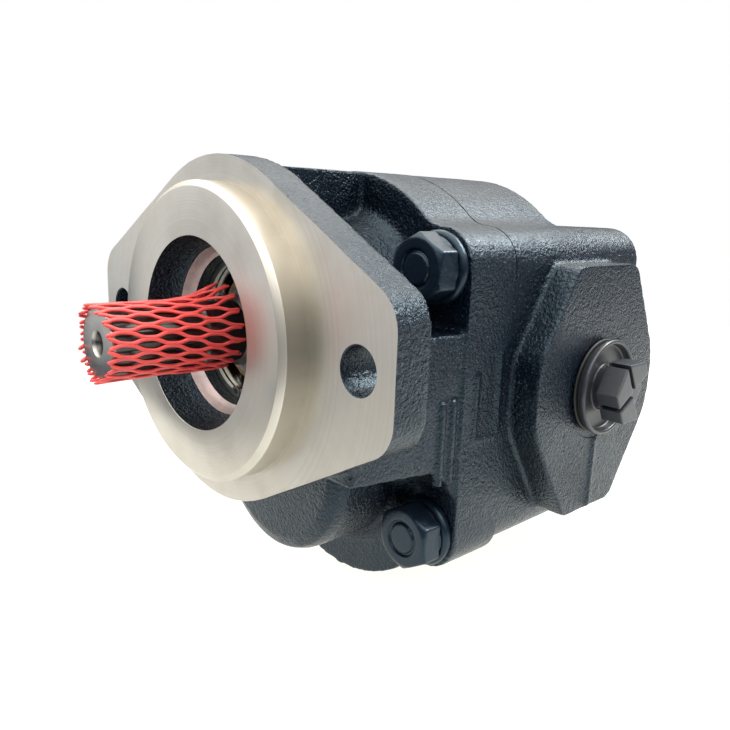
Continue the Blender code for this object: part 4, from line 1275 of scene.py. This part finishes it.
def tube(bm, points, radius, sides=8):
    """A round strand along the points, with rounded ends."""
    rings = []
    last = len(points) - 1
    for index, point in enumerate(points):
        ahead = (points[min(index + 1, last)] - points[max(index - 1, 0)]).normalized()
        outward = Vector((point.x, 0, point.z)).normalized()
        across = ahead.cross(outward).normalized()
        outward = across.cross(ahead).normalized()
        size = radius * (0.6 if index in (0, last) else 1.0)
        ring = []
        for side in range(sides):
            angle = math.tau * side / sides
            offset = across * math.cos(angle) * size * 1.12 + outward * math.sin(angle) * size * 0.92
            ring.append(bm.verts.new((point + offset) * MM))
        rings.append(ring)
    for ring, other in zip(rings, rings[1:]):
        for side in range(sides):
            after = (side + 1) % sides
            bm.faces.new((ring[side], ring[after], other[after], other[side]))
    bm.faces.new(rings[0])
    bm.faces.new(rings[-1])


def shaft_net():
    bm = bmesh.new()
    for number in range(2 * NET_CELLS):
        tube(bm, strand_path(number), STRAND_RADIUS)
    bmesh.ops.recalc_face_normals(bm, faces=bm.faces)
    net = gathered("shaft_net_strands", [bm])
    piece(net, "shaft_net_sleeve", "red_net", sharp=60)


def dress_hidden_nodes():
    """Gives every node that still shows the look of its slot."""
    for node in frame["nodes"].values():
        if node.hide_render:
            continue
        for slot in node.material_slots:
            name = slot.material.name.split(".")[0]
            slot.material = LOOKS[name]


# ---------------- studio


def camera():
    """Looks along the pump from the front right, a little from above and slightly rolled."""
    place = Vector((0.21536, -0.13106, 0.04421))
    azimuth = math.radians(46.803)
    elevation = math.radians(12.348)
    roll = math.radians(2.165)
    level = Vector((math.cos(azimuth), math.sin(azimuth), 0))
    ahead = Vector((-math.sin(azimuth), math.cos(azimuth), 0))
    forward = ahead * math.cos(elevation) - Vector((0, 0, math.sin(elevation)))
    upright = level.cross(forward)
    right = level * math.cos(roll) + upright * math.sin(roll)
    up = right.cross(forward)
    data = bpy.data.cameras.new("camera")
    data.lens = 35.674
    data.clip_start = 0.01
    obj = bpy.data.objects.new("camera", data)
    obj.matrix_world = Matrix.Translation(place) @ Matrix((right, up, -forward)).transposed().to_4x4()
    bpy.context.scene.collection.objects.link(obj)
    bpy.context.scene.camera = obj


def world():
    """A white background, which lights the object brightly from overhead and dimly from below."""
    surroundings = bpy.data.worlds.new("studio")
    surroundings.use_nodes = True
    tree = surroundings.node_tree
    tree.nodes.clear()
    direction = add(tree, "ShaderNodeTexCoord").outputs["Generated"]
    height = add(tree, "ShaderNodeSeparateXYZ", {0: direction}).outputs[2]
    shade = add(tree, "ShaderNodeValToRGB", {0: ranged(tree, height, -1.0, 1.0)})
    stops = [
        (-1.0, (0.008, 0.013, 0.022)),
        (-0.02, (0.008, 0.013, 0.022)),
        (0.10, (0.025, 0.035, 0.05)),
        (0.24, (0.06, 0.065, 0.07)),
        (0.45, (0.30, 0.30, 0.29)),
        (0.72, (1.0, 0.96, 0.91)),
    ]
    ramp = shade.color_ramp
    while len(ramp.elements) < len(stops):
        ramp.elements.new(1.0)
    for element, (sine, colour) in zip(ramp.elements, stops):
        element.position = (sine + 1) / 2
        element.color = (*colour, 1.0)
    lit = add(tree, "ShaderNodeBackground", {"Color": shade.outputs[0], "Strength": 3.9})
    seen = add(tree, "ShaderNodeBackground", {"Color": (1, 1, 1, 1)})
    path = add(tree, "ShaderNodeLightPath")
    mix = {0: path.outputs["Is Camera Ray"], 1: lit.outputs[0], 2: seen.outputs[0]}
    both = add(tree, "ShaderNodeMixShader", mix)
    add(tree, "ShaderNodeOutputWorld", {"Surface": both.outputs[0]})
    bpy.context.scene.world = surroundings


def floor():
    """A round pale table top."""
    bm = bmesh.new()
    bmesh.ops.create_circle(bm, cap_ends=True, segments=128, radius=0.6)
    table = gathered("floor", [bm])
    table.location = (0.08, 0.43, CAD_BOX[0][2] - 0.0006)
    material, tree, place = new_material("floor_look")
    tone = blended(tree, grain(tree, place, 40, 3.0), (0.19, 0.19, 0.19), (0.21, 0.21, 0.21))
    glow = {"Emission Color": (1.0, 1.0, 0.93, 1.0), "Emission Strength": 1.0}
    table.data.materials.append(finished(material, {"Base Color": tone, "Roughness": 0.8, **glow}))


def softbox(name, place, aim, size, power):
    data = bpy.data.lights.new(name, "AREA")
    data.shape = "RECTANGLE"
    data.size, data.size_y = size
    data.energy = power
    obj = bpy.data.objects.new(name, data)
    obj.location = place
    obj.rotation_euler = (Vector(aim) - Vector(place)).to_track_quat("-Z", "Y").to_euler()
    bpy.context.scene.collection.objects.link(obj)


def studio():
    camera()
    world()
    floor()
    softbox("back_light", (0.32, 0.72, 0.72), (0, 0.08, 0), (0.45, 0.3), 9.0)
    softbox("front_light", (-0.95, -0.85, 0.22), (0, 0, 0), (1.3, 1.0), 4.3)
    softbox("rear_light", (0.30, 1.1, -0.1), (0.07, 0.13, -0.02), (0.32, 0.5), 0.35)
    bpy.context.scene.view_settings.view_transform = "Standard"


front_cover()
gear_housing()
cover_bolts()
port_plugs()
drive_shaft()
bearing_rings()
bearing_balls()
spring_ring()
shaft_net()
dress_hidden_nodes()
studio()
